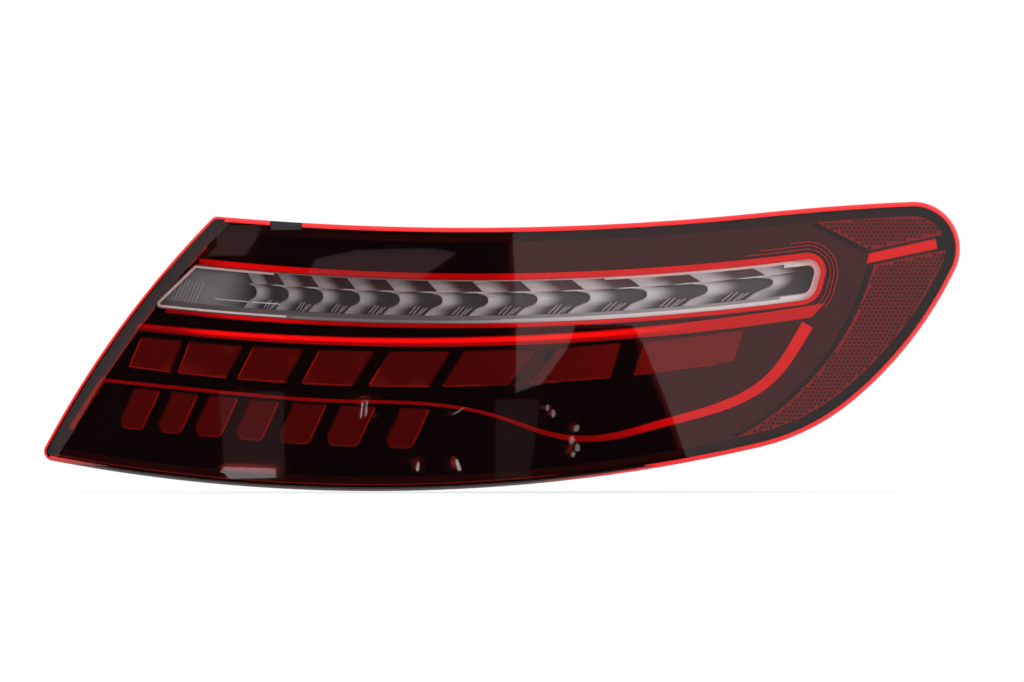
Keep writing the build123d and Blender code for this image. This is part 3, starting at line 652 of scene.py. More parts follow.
FINISHES: dict[str, Any] = {finish.name: finish for finish in (
    ClearMoulding("smoked_lens", (0.95, 0.50, 0.50), (0.007, 0.004, 0.004), 0.22),
    ClearMoulding("clear_lens", (0.98, 0.98, 0.98), (0.02, 0.02, 0.02), 0.12),
    Moulded("housing", (0.016, 0.016, 0.018), 0.58, 0.2, 24 * MM, 0.8 * MM, 0.05 * MM, 0.0, 0.25),
    Moulded("bezel", (0.003, 0.003, 0.003), 0.05, 0.2, 40 * MM, 25 * MM, 0.0005 * MM, 0.0, 1.0),
    Moulded("carrier", (0.03, 0.03, 0.032), 0.5),
    # silver is painted darker towards the left end, as shade.
    Metallised("silver", (0.86, 0.85, 0.86), 0.22, 0.93, 0.55),
    # red_guide and reflex_red glow by emission: painted light.
    LitPlastic("red_guide", (0.75, 0.004, 0.006), (1.0, 0.006, 0.010), 0.45),
    LitPlastic("reflex_red", (0.25, 0.010, 0.012), (0.40, 0.010, 0.014), 0.12),
    Foam("sealant", (0.03, 0.03, 0.03), 2 * MM, 0.05 * MM, 0.6),
    Board("board"),
    Moulded("led", (0.80, 0.62, 0.12), 0.35),
    Moulded("aluminium", (0.60, 0.61, 0.62), 0.42, 0.08, 8 * MM, 0.6 * MM, 0.05 * MM, 1.0),
    Moulded("steel", (0.60, 0.59, 0.55), 0.30, 0.10, 5 * MM, 0.5 * MM, 0.01 * MM, 1.0),
    Moulded("chip", (0.02, 0.02, 0.02), 0.55),
    Foam("foam", (0.045, 0.045, 0.047)),
    Foam("rubber", (0.03, 0.03, 0.03), 1.6 * MM, 0.02 * MM, 0.7),
    Moulded("nylon", (0.72, 0.70, 0.64), 0.42, 0.06),
    Moulded("socket", (0.02, 0.02, 0.022), 0.5),
    Moulded("brass", (0.66, 0.60, 0.42), 0.28, 0.1, 3 * MM, 0.4 * MM, 0.01 * MM, 1.0),
)}
INNER_FACE = ClearMoulding("smoked_lens_inner", (0.95, 0.50, 0.50), (0.007, 0.004, 0.004), 0.03, 0.5)
SKIRT = Moulded("lens_skirt", (0.13, 0.004, 0.005), 0.34, 0.15, 30 * MM, 1.5 * MM, 0.006 * MM, 0.0, 0.3)
# bright_trim is painted darker towards the left end, as shade.
BRIGHT_TRIM = Metallised("bright_trim", (0.95, 0.95, 0.96), 0.30, 0.35, 0.3)
END_TRIM = Metallised("end_trim", (0.92, 0.92, 0.93), 0.30, 0.35, 1.0)
END_RIDGES = Metallised("end_ridges", (0.55, 0.54, 0.55), 0.3, 0.4)
MATT_BORDER = Moulded("matt_border", (0.016, 0.014, 0.015), 0.6)
# Painted highlight: a glowing pinkish strip along the foot stands for a reflection in the lens.
FOOT_HIGHLIGHT = LitPlastic("foot_highlight", (0.16, 0.045, 0.055), (0.5, 0.15, 0.18), 0.10)
# Crease lines and guide ridges glow by emission: painted light.
CREASE = LitPlastic("crease_line", (0.30, 0.004, 0.006), (0.8, 0.008, 0.010), 0.2)
# Painted glow, with painted shade towards the left.
HOOK_FINISH = LitPlastic("hook_guide", (0.62, 0.006, 0.008), (1.0, 0.012, 0.014), 0.42, 0.18, 0.28, (0.04, 0.10))
# Guide finishes: painted glow with a bright core, painted shade at the left end and, on the loop, at a dip.
LOOP_FINISH = GuideGlow(
    "loop_guide", ((-158.1, 47.75), (168.5, 51.85), 10.0), ((-158.1, 44.65), (168.5, 48.75), 10.0),
    core=(0.2, 0.75), rest=0.85, even_from=(-0.02, 0.06), strength=0.48, dip=0.5,
    left_end=(-0.163, -0.135), end_share=0.25,
)
BAR_FINISH = GuideGlow(
    "bar_guide", ((-187.2, 14.0), (169.5, 24.4), 12.2), ((-189.8, 10.4), (162.2, 16.9), 11.7),
    core=(0.05, 0.68), rest=0.25, even_from=(0.05, 0.11), strength=1.05,
)
# Cell finishes with painted light: lit and shaded copies of the cell colour on the chamfers, and faces that glow by
# emission with painted shade towards the left.
CELL_LIT_EDGE = LitPlastic("cell_lit_edge", (0.30, 0.030, 0.012), (1.0, 0.10, 0.03), 0.12)
CELL_SHADE = LitPlastic("cell_shade", (0.05, 0.008, 0.006), (0.2, 0.02, 0.01), 0.03)
CELL_FACE = LitPlastic("cell_face", (0.16, 0.026, 0.016), (0.5, 0.06, 0.03), 0.10, 0.18, 0.4, (0.02, 0.10))
# Cell skins: painted shade and reflection turn each piece from one colour to the other, the reddish tone is a painted
# reflection of the red guide, and the inboard cells are painted darker as shade.
UPPER_SKIN = CellSkin("cell_upper", (0.86, 0.80, 0.81), (0.125, 0.042, 0.047), (0.14, 0.62))
LOWER_SKIN = CellSkin("cell_lower", (0.74, 0.71, 0.72), (0.080, 0.066, 0.068), (0.04, 0.52))
FOOT_SKIN = CellSkin("cell_foot", (0.20, 0.16, 0.16), (0.42, 0.38, 0.39), (0.35, 0.75), 0.8)
PLAIN_SKIN = CellSkin("plain_end", (0.26, 0.25, 0.26), (0.05, 0.04, 0.042), (0.45, 0.85), 1.0)
BLADE_SKIN = CellSkin("cell_blade", (0.15, 0.12, 0.12), (0.80, 0.76, 0.77), (0.0, 0.55), 0.7)
RIB_SKIN = CellSkin("cell_rib", (0.80, 0.74, 0.72), (0.55, 0.50, 0.50), (0.0, 1.0), 0.75, 0.3, 0.2)
STEP_SKIN = CellSkin("step_line", (0.60, 0.60, 0.61), (0.80, 0.80, 0.82), (0.0, 0.4), 1.0)
# Reflex prisms glow faintly by emission: painted light.
PRISM_PAD = LitPlastic("reflex_prism", (0.040, 0.006, 0.007), (0.1, 0.006, 0.008), 0.05)


@dataclass(frozen=True)
class LensForm:
    """Lens face as a formula: tangent arcs in plan, crowned from top to bottom."""

    front_y: float = -82 * MM
    apex_x: float = -130 * MM
    radii: tuple[float, ...] = (1400 * MM, 700 * MM, 370 * MM)
    slopes: tuple[float, ...] = (-8.0, 4.5, 12.0, 50.0)
    crown: float = 420 * MM
    crown_z: float = -8 * MM
    probe: float = 0.5 * MM

    def arcs(self) -> list[tuple[Vector, float, float]]:
        """Centre in plan, radius and last slope in radians of every arc.

        Returns:
            One row per arc, inboard first.
        """
        centre = Vector((self.apex_x, self.front_y + self.radii[0]))
        arcs = []
        for i, radius in enumerate(self.radii):
            if i:
                slope = math.radians(self.slopes[i])
                centre = centre + Vector((math.sin(slope), -math.cos(slope))) * (self.radii[i - 1] - radius)
            arcs.append((centre.copy(), radius, math.radians(self.slopes[i + 1])))
        return arcs

    def y_at(self, x: float, z: float, depth: float) -> float:
        """Y of the point at x, z that lies a depth below the face.

        Args:
            x: Place on the face.
            z: Place on the face.
            depth: How far below the face.

        Returns:
            Y in metres.
        """
        for centre, radius, last in self.arcs():
            rho = radius - self.crown + math.sqrt((self.crown - depth) ** 2 - (z - self.crown_z) ** 2)
            slope = math.asin(max(-1.0, min(1.0, (x - centre.x) / rho)))
            if slope <= last:
                break
        return centre.y - rho * math.cos(slope)

    def normal_at(self, x: float, z: float) -> Vector:
        """Outward normal of the face at x, z.

        Args:
            x: Place on the face.
            z: Place on the face.

        Returns:
            The normal, of length 1.
        """
        step = self.probe
        along_x = self.y_at(x + step, z, 0.0) - self.y_at(x - step, z, 0.0)
        along_z = self.y_at(x, z + step, 0.0) - self.y_at(x, z - step, 0.0)
        return Vector((along_x / (2 * step), -1.0, along_z / (2 * step))).normalized()

    def mirrored_to(self, x: float, z: float, wall_y: float) -> Vector:
        """Point of a wall square to Y whose image the camera sees on the face.

        Args:
            x: Place on the face.
            z: Place on the face.
            wall_y: Where the wall stands, in front of the lamp.

        Returns:
            The point of the wall.
        """
        start = Vector((x, self.y_at(x, z, 0.0), z))
        way = Vector((0, 1, 0)).reflect(self.normal_at(x, z))
        return start + way * ((wall_y - start.y) / way.y)


FORM = LensForm()


def arc_circle(ends: Line, sag: float) -> tuple[Vector, float]:
    """Centre and radius in metres of an arc that hangs below its chord, from sizes in millimetres.

    Args:
        ends: Ends of the chord.
        sag: How far the arc hangs below its middle.

    Returns:
        Centre and radius.
    """
    a, b = Vector(ends[0]) * MM, Vector(ends[1]) * MM
    chord, sag = b - a, sag * MM
    radius = (chord.length_squared / 4 + sag * sag) / (2 * sag)
    return (a + b) / 2 + Vector((-chord.y, chord.x)).normalized() * (radius - sag), radius


def arc_through(ends: Line, sag: float, count: int) -> list[Vector]:
    """Points in metres along an arc that hangs below its chord, from sizes in millimetres.

    Args:
        ends: Ends of the chord.
        sag: How far the arc hangs below its middle.
        count: Steps of the arc.

    Returns:
        The points, first end first.
    """
    centre, radius = arc_circle(ends, sag)
    first, last = [math.atan2(p[1] * MM - centre.y, p[0] * MM - centre.x) for p in ends]
    angles = [first + (last - first) * i / count for i in range(count + 1)]
    return [centre + Vector((math.cos(angle), math.sin(angle))) * radius for angle in angles]


def nearest(points: list[Vector], spot: Vector) -> int:
    """Index of the point that lies nearest to a spot."""
    return min(range(len(points)), key=lambda i: (points[i] - spot).length)


def rounded(points: list[Vector], spot: Vector, radius: float, count: int = 14) -> list[Vector]:
    """Replace one corner of a closed outline by an arc.

    Args:
        points: Corners of the outline.
        spot: Where the corner is.
        radius: Radius of the arc.
        count: Steps of the arc.

    Returns:
        The new outline, from the arc on.
    """
    index = nearest(points, spot)
    corner = points[index]
    loop = points[index + 1:] + points[:index]
    ahead, behind = (loop[0] - corner).normalized(), (loop[-1] - corner).normalized()
    half = ahead.angle(behind) / 2
    reach = radius / math.tan(half)
    while (loop[0] - corner).length < reach:
        loop.pop(0)
    while (loop[-1] - corner).length < reach:
        loop.pop()
    centre = corner + (ahead + behind).normalized() * radius / math.sin(half)
    start, end = corner + behind * reach - centre, corner + ahead * reach - centre
    turn = math.atan2(start.x * end.y - start.y * end.x, start.dot(end))
    arc = []
    for i in range(count + 1):
        c, s = math.cos(turn * i / count), math.sin(turn * i / count)
        arc.append(centre + Vector((start.x * c - start.y * s, start.x * s + start.y * c)))
    return arc + loop


def moved(loop: list[Vector], step: float) -> list[Vector]:
    """Closed outline that runs anticlockwise, moved outwards by a step, or inwards by a negative one.

    Args:
        loop: Points of the outline.
        step: How far it moves.

    Returns:
        As many points, moved.
    """
    points = []
    for before, here, after in zip(loop[-1:] + loop[:-1], loop, loop[1:] + loop[:1]):
        along = (after - here).normalized() + (here - before).normalized()
        points.append(here + Vector((along.y, -along.x)).normalized() * step)
    return points


@dataclass(frozen=True)
class Outline:
    """Edge of the lamp seen from the front: tangent arcs from the inboard foot, then the slanted side."""

    start: Point = (-239.3 * MM, -56.2 * MM)
    heading: float = -11.2
    arcs: tuple[Point, ...] = (
        (897 * MM, 24.1), (118 * MM, 26.6), (206 * MM, 24.6), (24.5 * MM, 118.5), (1315 * MM, 3.4), (1470 * MM, -11.15),
    )
    bulge: float = 5.8 * MM
    foot_radius: float = 5 * MM
    peak_radius: float = 4 * MM
    pitch: float = 7 * MM
    turn_step: float = 4.0
    least_steps: int = 4

    def rim(self) -> list[Vector]:
        """Points along the tangent arcs, foot first.

        Returns:
            The points, in metres.
        """
        place, heading = Vector(self.start), math.radians(self.heading)
        points = [place.copy()]
        for radius, turn in self.arcs:
            side, angle = (1 if turn > 0 else -1), math.radians(abs(turn))
            centre = place + Vector((-math.sin(heading), math.cos(heading))) * radius * side
            count = max(int(radius * angle / self.pitch), int(abs(turn) / self.turn_step), self.least_steps)
            for i in range(1, count + 1):
                now = heading + side * angle * i / count
                points.append(centre + Vector((math.sin(now), -math.cos(now))) * radius * side)
            place, heading = points[-1], heading + side * angle
        return points

    def side(self) -> list[Vector]:
        """Points along the slanted inboard side, top first.

        Returns:
            The points, in metres.
        """
        top, foot = self.rim()[-1], Vector(self.start)
        chord = foot - top
        out = Vector((chord.y, -chord.x)).normalized() * self.bulge
        count = int(chord.length / self.pitch)
        return [top + chord * (i / count) + out * (4 * i * (count - i) / count**2) for i in range(count + 1)]

    def points(self) -> list[Vector]:
        """Whole outline, with its two inboard corners rounded.

        Returns:
            The points, anticlockwise.
        """
        rim, side = self.rim(), self.side()
        loop = rounded(rim + side[1:-1], rim[-1], self.peak_radius)
        return rounded(loop, Vector(self.start), self.foot_radius)


@dataclass(frozen=True)
class Band:
    """Clear band: sagging strip with a slanted left end and a rounded right end."""

    top: Line = ((-158.1, 43.7), (168.5, 47.8))
    foot: Line = ((-179.4, 22.9), (163.0, 27.2))
    sags: Point = (10.0, 10.6)
    corner_radii: tuple[float, float, float] = (6 * MM, 9 * MM, 1.5 * MM)
    count: int = 40

    def points(self) -> list[Vector]:
        """Closed outline, left corners last.

        Returns:
            The points, anticlockwise.
        """
        foot, top = arc_through(self.foot, self.sags[1], self.count), arc_through(self.top, self.sags[0], self.count)
        loop = foot + top[::-1]
        upper, lower, left = self.corner_radii
        for spot, radius in ((top[-1], upper), (foot[-1], lower), (top[0], left), (foot[0], left)):
            loop = rounded(loop, spot, radius)
        return loop

    def height(self, x: float, share: float) -> float:
        """Z inside the band at x: share 0 is its top edge, 1 its foot.

        Args:
            x: Place along the band.
            share: How far down.

        Returns:
            Z in metres.
        """
        circles = arc_circle(self.top, self.sags[0]), arc_circle(self.foot, self.sags[1])
        high, low = [centre.y - math.sqrt(radius**2 - (x - centre.x) ** 2) for centre, radius in circles]
        return high + (low - high) * share


OUTLINE = Outline()
BAND = Band()


def distance_to(points: list[Vector], x: float, z: float, closed: bool = False) -> float:
    """Distance from x, z to the nearest run between points.

    Args:
        points: Ends of the runs.
        x: The place.
        z: The place.
        closed: Whether the last joins the first.

    Returns:
        The distance, at most 1 m.
    """
    spot, best = Vector((x, z)), 1.0
    for a, b in zip(points, points[1:] + points[:1] if closed else points[1:]):
        run = b - a
        t = max(0.0, min(1.0, (spot - a).dot(run) / run.length_squared))
        best = min(best, (spot - a - run * t).length)
    return best


def inside(points: list[Vector], x: float, z: float) -> bool:
    """True for a place within a closed outline.

    Args:
        points: Points of the outline.
        x: The place.
        z: The place.

    Returns:
        Whether it is within.
    """
    odd = False
    for a, b in zip(points, points[1:] + points[:1]):
        if (a.y > z) != (b.y > z) and x < a.x + (b.x - a.x) * (z - a.y) / (b.y - a.y):
            odd = not odd
    return odd


class Mode(Enum):
    """Blender's two ways of working on a mesh."""

    OBJECT = "OBJECT"
    EDIT = "EDIT"


def leave_edit() -> None:
    """Go back to object mode with nothing selected."""
    if bpy.context.object and bpy.context.object.mode != Mode.OBJECT.value:
        bpy.ops.object.mode_set(mode=Mode.OBJECT.value)
    bpy.ops.object.select_all(action="DESELECT")


def pick(piece: bpy.types.Object, mode: Mode = Mode.OBJECT) -> None:
    """Select one object alone, make it active and enter a mode with its whole mesh selected.

    Args:
        piece: The object.
        mode: The mode to enter.
    """
    leave_edit()
    piece.select_set(True)
    bpy.context.view_layer.objects.active = piece
    bpy.ops.object.mode_set(mode=mode.value)
    if mode is Mode.EDIT:
        bpy.ops.mesh.select_all(action="SELECT")


def pick_faces(piece: bpy.types.Object, wanted: Callable[[bpy.types.MeshPolygon], bool]) -> None:
    """Enter edit mode with only those faces selected that a test picks out.

    Args:
        piece: Whose faces.
        wanted: The test.
    """
    pick(piece, Mode.EDIT)
    bpy.ops.mesh.select_mode(type="FACE")
    bpy.ops.mesh.select_all(action="DESELECT")
    bpy.ops.object.mode_set(mode=Mode.OBJECT.value)
    for face in piece.data.polygons:
        face.select = wanted(face)
    bpy.ops.object.mode_set(mode=Mode.EDIT.value)


def drop_faces(piece: bpy.types.Object, unwanted: Callable[[bpy.types.MeshPolygon], bool]) -> None:
    """Delete the faces of a piece that a test picks out.

    Args:
        piece: Whose faces.
        unwanted: The test.
    """
    pick_faces(piece, unwanted)
    bpy.ops.mesh.delete(type="FACE")
    leave_edit()


def apply(piece: bpy.types.Object, kind: str, **settings: Any) -> None:
    """Add a modifier to a piece and apply it.

    Args:
        piece: What it works on.
        kind: Blender's type name.
        settings: Its properties.
    """
    pick(piece)
    modifier = piece.modifiers.new(kind.lower(), kind)
    for name, setting in settings.items():
        setattr(modifier, name, setting)
    bpy.ops.object.modifier_apply(modifier=modifier.name)


def repeat(piece: bpy.types.Object, count: int, step: tuple[float, float, float]) -> None:
    """Copy a piece's mesh in a row, a step apart."""
    offsets = {"use_relative_offset": False, "use_constant_offset": True, "constant_offset_displace": step}
    apply(piece, "ARRAY", count=count, **offsets)


def newest(name: str) -> bpy.types.Object:
    """Name the primitive that was added last and give it.

    Args:
        name: Name of the piece and its mesh.

    Returns:
        The piece.
    """
    piece = bpy.context.object
    piece.name = piece.data.name = name
    return piece


def flat_face(name: str, points: list[Vector]) -> bpy.types.Object:
    """Flat face in X and Z with the given corners, at depth 0.

    Args:
        name: Name of the piece.
        points: Its corners.

    Returns:
        The piece.
    """
    leave_edit()
    bpy.ops.mesh.primitive_circle_add(vertices=len(points), radius=START_RADIUS, fill_type="NGON")
    piece = newest(name)
    for vertex, point in zip(piece.data.vertices, points):
        vertex.co = (point.x, 0.0, point.y)
    return piece


def column(name: str, points: list[Vector], near: float, far: float) -> bpy.types.Object:
    """Closed column through a flat outline, between two depths.

    Args:
        name: Name of the piece.
        points: Its outline.
        near: Its front.
        far: Its back.

    Returns:
        The piece.
    """
    piece = flat_face(name, points)
    pick(piece, Mode.EDIT)
    bpy.ops.transform.translate(value=(0, near, 0))
    bpy.ops.mesh.extrude_region_move(TRANSFORM_OT_translate={"value": (0, far - near, 0)})
    bpy.ops.mesh.select_all(action="SELECT")
    bpy.ops.mesh.normals_make_consistent(inside=False)
    leave_edit()
    return piece


def cut(spot: Vector, normal: Vector) -> None:
    """Cut the whole mesh in edit mode along a plane."""
    bpy.ops.mesh.select_all(action="SELECT")
    bpy.ops.mesh.bisect(plane_co=spot, plane_no=normal, threshold=CUT_TOLERANCE)


def slice_up(piece: bpy.types.Object, spacing: float) -> None:
    """Cut a piece into a fine net along X and Z.

    Args:
        piece: What is cut.
        spacing: Width of the meshes.
    """
    low, high = Vector(piece.bound_box[0]), Vector(piece.bound_box[6])
    pick(piece, Mode.EDIT)
    for normal in (Vector((1, 0, 0)), Vector((0, 0, 1))):
        for i in range(1, int((high - low).dot(normal) / spacing) + 1):
            cut(low + normal * spacing * i, normal)
    leave_edit()


def lay_on_form(piece: bpy.types.Object, extra: Callable[[float, float, float], float] | None = None) -> None:
    """Bend a piece modelled flat, its Y read as depth below the face, onto the lens form.

    Args:
        piece: What is bent.
        extra: Depth to add at x, z and a depth, if any.
    """
    for vertex in piece.data.vertices:
        x, depth, z = vertex.co
        vertex.co.y = FORM.y_at(x, z, depth + (extra(x, z, depth) if extra else 0.0))
    piece.data.update()


def smooth_by(piece: bpy.types.Object, angle: float) -> None:
    """Smooth the edges of a piece that turn by less than an angle in degrees."""
    pick(piece)
    bpy.ops.object.shade_smooth_by_angle(angle=math.radians(angle))


def close_up(piece: bpy.types.Object, smooth: float = 35.0) -> None:
    """Turn the normals of a closed piece outwards and smooth its rounds.

    Args:
        piece: The piece.
        smooth: Largest angle that is smoothed, in degrees.
    """
    pick(piece, Mode.EDIT)
    bpy.ops.mesh.normals_make_consistent(inside=False)
    smooth_by(piece, smooth)


def joined(name: str, pieces: list[bpy.types.Object], smooth: float) -> bpy.types.Object:
    """Make one piece of several and smooth its rounds.

    Args:
        name: Name of the whole.
        pieces: What is joined.
        smooth: Largest angle that is smoothed, in degrees.

    Returns:
        The whole.
    """
    leave_edit()
    for piece in pieces:
        piece.select_set(True)
    bpy.context.view_layer.objects.active = pieces[0]
    bpy.ops.object.join()
    whole = newest(name)
    smooth_by(whole, smooth)
    return whole


def copy_of(node: str, name: str) -> bpy.types.Object:
    """Copy of a node's mesh with its loose triangles merged.

    Args:
        node: Name of the solid that is copied.
        name: Name of the new piece.

    Returns:
        The new piece.
    """
    piece = bpy.data.objects.new(name, frame["nodes"][node].data.copy())
    bpy.context.scene.collection.objects.link(piece)
    pick(piece, Mode.EDIT)
    bpy.ops.mesh.remove_doubles(threshold=MERGE_TOLERANCE)
    leave_edit()
    return piece


def paint(piece: bpy.types.Object, *materials: bpy.types.Material) -> None:
    """Give a piece these materials alone.

    Args:
        piece: The piece.
        materials: Its materials, in order.
    """
    piece.data.materials.clear()
    for material in materials:
        piece.data.materials.append(material)


def seat(piece: bpy.types.Object, slot: str, *nodes: str) -> None:
    """Let a finished piece ride on the lamp and hide what it stands for.

    Args:
        piece: The piece.
        slot: The record's slot; not used.
        nodes: Solids that it stands for.
    """
    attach(piece, BODY)
    if nodes:
        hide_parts(*nodes)
    LOG.info("%s: %d faces", piece.name, len(piece.data.polygons))


class LensZone(IntEnum):
    """Parts of the lens wall with a finish of their own, in the order of its materials."""

    FACE = 0
    RIM = 1
    INNER = 2
    SKIRT = 3


@dataclass
class Lens:
    """Outer lens and clear window: one wall with a rounded rim and a skirt, parted round the band."""

    spacing: float = 6 * MM
    wall: float = 3 * MM
    rim_radius: float = 2.4 * MM
    rim_steps: int = 12
    thin_rim: float = 1.3 * MM
    thin_below: float = -60 * MM
    smooth: float = 9.0
    skirt_from: float = 3.36 * MM
    skirt_foot: float = 23.2 * MM
    window_lap: float = 0.5 * MM
    window_reach: float = 10 * MM
    tab: tuple[float, float, float] = (-119.3 * MM, -102.7 * MM, 62.1 * MM)
    roll_width: float = 8.4 * MM
    roll_drop: float = 1.7 * MM
    roll_overrun: int = 2
    crease_stride: int = 3
    outline: list[Vector] = field(default_factory=OUTLINE.points)
    side: list[Vector] = field(default_factory=OUTLINE.side)

    def roll(self, x: float, z: float, depth: float) -> float:
        """Depth by which the slanted border falls away at x, z: most at the face, nothing at the skirt's foot.

        Args:
            x: The place.
            z: The place.
            depth: How far below the face.

        Returns:
            Depth to add.
        """
        above, below = [a + (a - b) * self.roll_overrun for a, b in (self.side[:2], self.side[:-3:-1])]
        near = max(0.0, 1 - distance_to([above, *self.side, below], x, z) / self.roll_width)
        return self.roll_drop * near * (1 - depth / self.skirt_foot)

    def crease(self, lens: bpy.types.Object) -> None:
        """Cut the sheet along tangents of the line at which the slanted border starts.

        Args:
            lens: The sheet.
        """
        pick(lens, Mode.EDIT)
        stride = self.crease_stride
        for first, last in zip(self.side[:-stride:stride], self.side[stride::stride]):
            inward = Vector((first.y - last.y, 0, last.x - first.x)).normalized()
            middle = (first + last) / 2
            cut(Vector((middle.x, 0, middle.y)) + inward * self.roll_width, inward)
        leave_edit()

    def tab_gap(self, lens: bpy.types.Object) -> None:
        """Cut the gap for the housing's tab out of the top edge.

        Args:
            lens: The sheet.
        """
        x0, x1, z0 = self.tab
        pick(lens, Mode.EDIT)
        for spot, normal in (((x0, 0, 0), (1, 0, 0)), ((x1, 0, 0), (1, 0, 0)), ((0, 0, z0), (0, 0, 1))):
            cut(spot, normal)
        drop_faces(lens, lambda face: x0 < face.center.x < x1 and face.center.z > z0)

    def wall_sheet(self) -> bpy.types.Object:
        """Front sheet with its rounded rim and its skirt, flat, thickened to a wall.

        Returns:
            The wall.
        """
        lens = flat_face("outer_lens_moulding", self.outline)
        pick(lens, Mode.EDIT)
        done = 0.0
        for k in range(1, self.rim_steps + 1):
            inset = self.rim_radius * (1 - math.cos(math.pi / 2 * k / self.rim_steps))
            bpy.ops.mesh.inset(thickness=inset - done, depth=0.0)
            done = inset
        leave_edit()
        slice_up(lens, self.spacing)
        self.crease(lens)
        for vertex in lens.data.vertices:
            near = max(0.0, self.rim_radius - distance_to(self.outline, vertex.co.x, vertex.co.z, True))
            vertex.co.y = self.rim_radius - math.sqrt(self.rim_radius**2 - near**2)
        pick(lens, Mode.EDIT)
        bpy.ops.mesh.select_mode(type="EDGE")
        bpy.ops.mesh.select_all(action="DESELECT")
        bpy.ops.mesh.select_non_manifold()
        drop = (0, self.skirt_foot - self.rim_radius, 0)
        bpy.ops.mesh.extrude_region_move(TRANSFORM_OT_translate={"value": drop})
        bpy.ops.mesh.select_all(action="SELECT")
        bpy.ops.mesh.normals_make_consistent(inside=False)
        leave_edit()
        self.tab_gap(lens)
        front = min(lens.data.polygons, key=lambda face: face.center.y)
        apply(lens, "SOLIDIFY", thickness=self.wall, offset=math.copysign(1.0, front.normal.y), use_even_offset=True)
        return lens

    def zone(self, face: bpy.types.MeshPolygon) -> LensZone:
        """Part of the flat wall that a face belongs to.

        Args:
            face: The face.

        Returns:
            Its zone.
        """
        x, depth, z = face.center
        edge = distance_to(self.outline, x, z, True)
        slanted = distance_to(self.side, x, z) < 2 * self.rim_radius
        if depth > self.skirt_from and edge < 2 * self.wall:
            return LensZone.SKIRT
        if edge < (self.thin_rim if slanted or z < self.thin_below else self.rim_radius):
            return LensZone.RIM
        return LensZone.INNER if face.normal.y > 0 else LensZone.FACE

    def build(self) -> None:
        """Lens and window with their finishes."""
        lens = self.wall_sheet()
        close_up(lens)
        window = lens.copy()
        window.data = lens.data.copy()
        window.name = window.data.name = "clear_window_pane"
        bpy.context.scene.collection.objects.link(window)
        edge = moved(BAND.points(), self.window_lap)
        opening = column("window_opening", edge, -self.window_reach, self.window_reach)
        apply(window, "BOOLEAN", operation="INTERSECT", object=opening, solver="EXACT")
        apply(lens, "BOOLEAN", operation="DIFFERENCE", object=opening, solver="FAST")
        bpy.data.objects.remove(opening)
        paint(lens, *[finish.make() for finish in (FINISHES["smoked_lens"], LensRim(), INNER_FACE, SKIRT)])
        paint(window, FINISHES["clear_lens"].make())
        for face in lens.data.polygons:
            face.material_index = self.zone(face)
        for piece in (lens, window):
            lay_on_form(piece, self.roll)
            close_up(piece, self.smooth)
        seat(lens, "smoked_lens", "outer_lens")
        seat(window, "clear_lens", "clear_window")


class Half(Enum):
    """Part of the band's edge that a strip follows."""

    WHOLE = 0
    TOP = 1
    FOOT = -1


@dataclass(frozen=True)
class Strip:
    """One thin strip: its two edges, its place below the lens face, the stretch that stays and its finish."""

    name: str
    edges: list[list[Vector]]
    depth: float
    thick: float
    keep: Test
    finish: Any
    slot: str


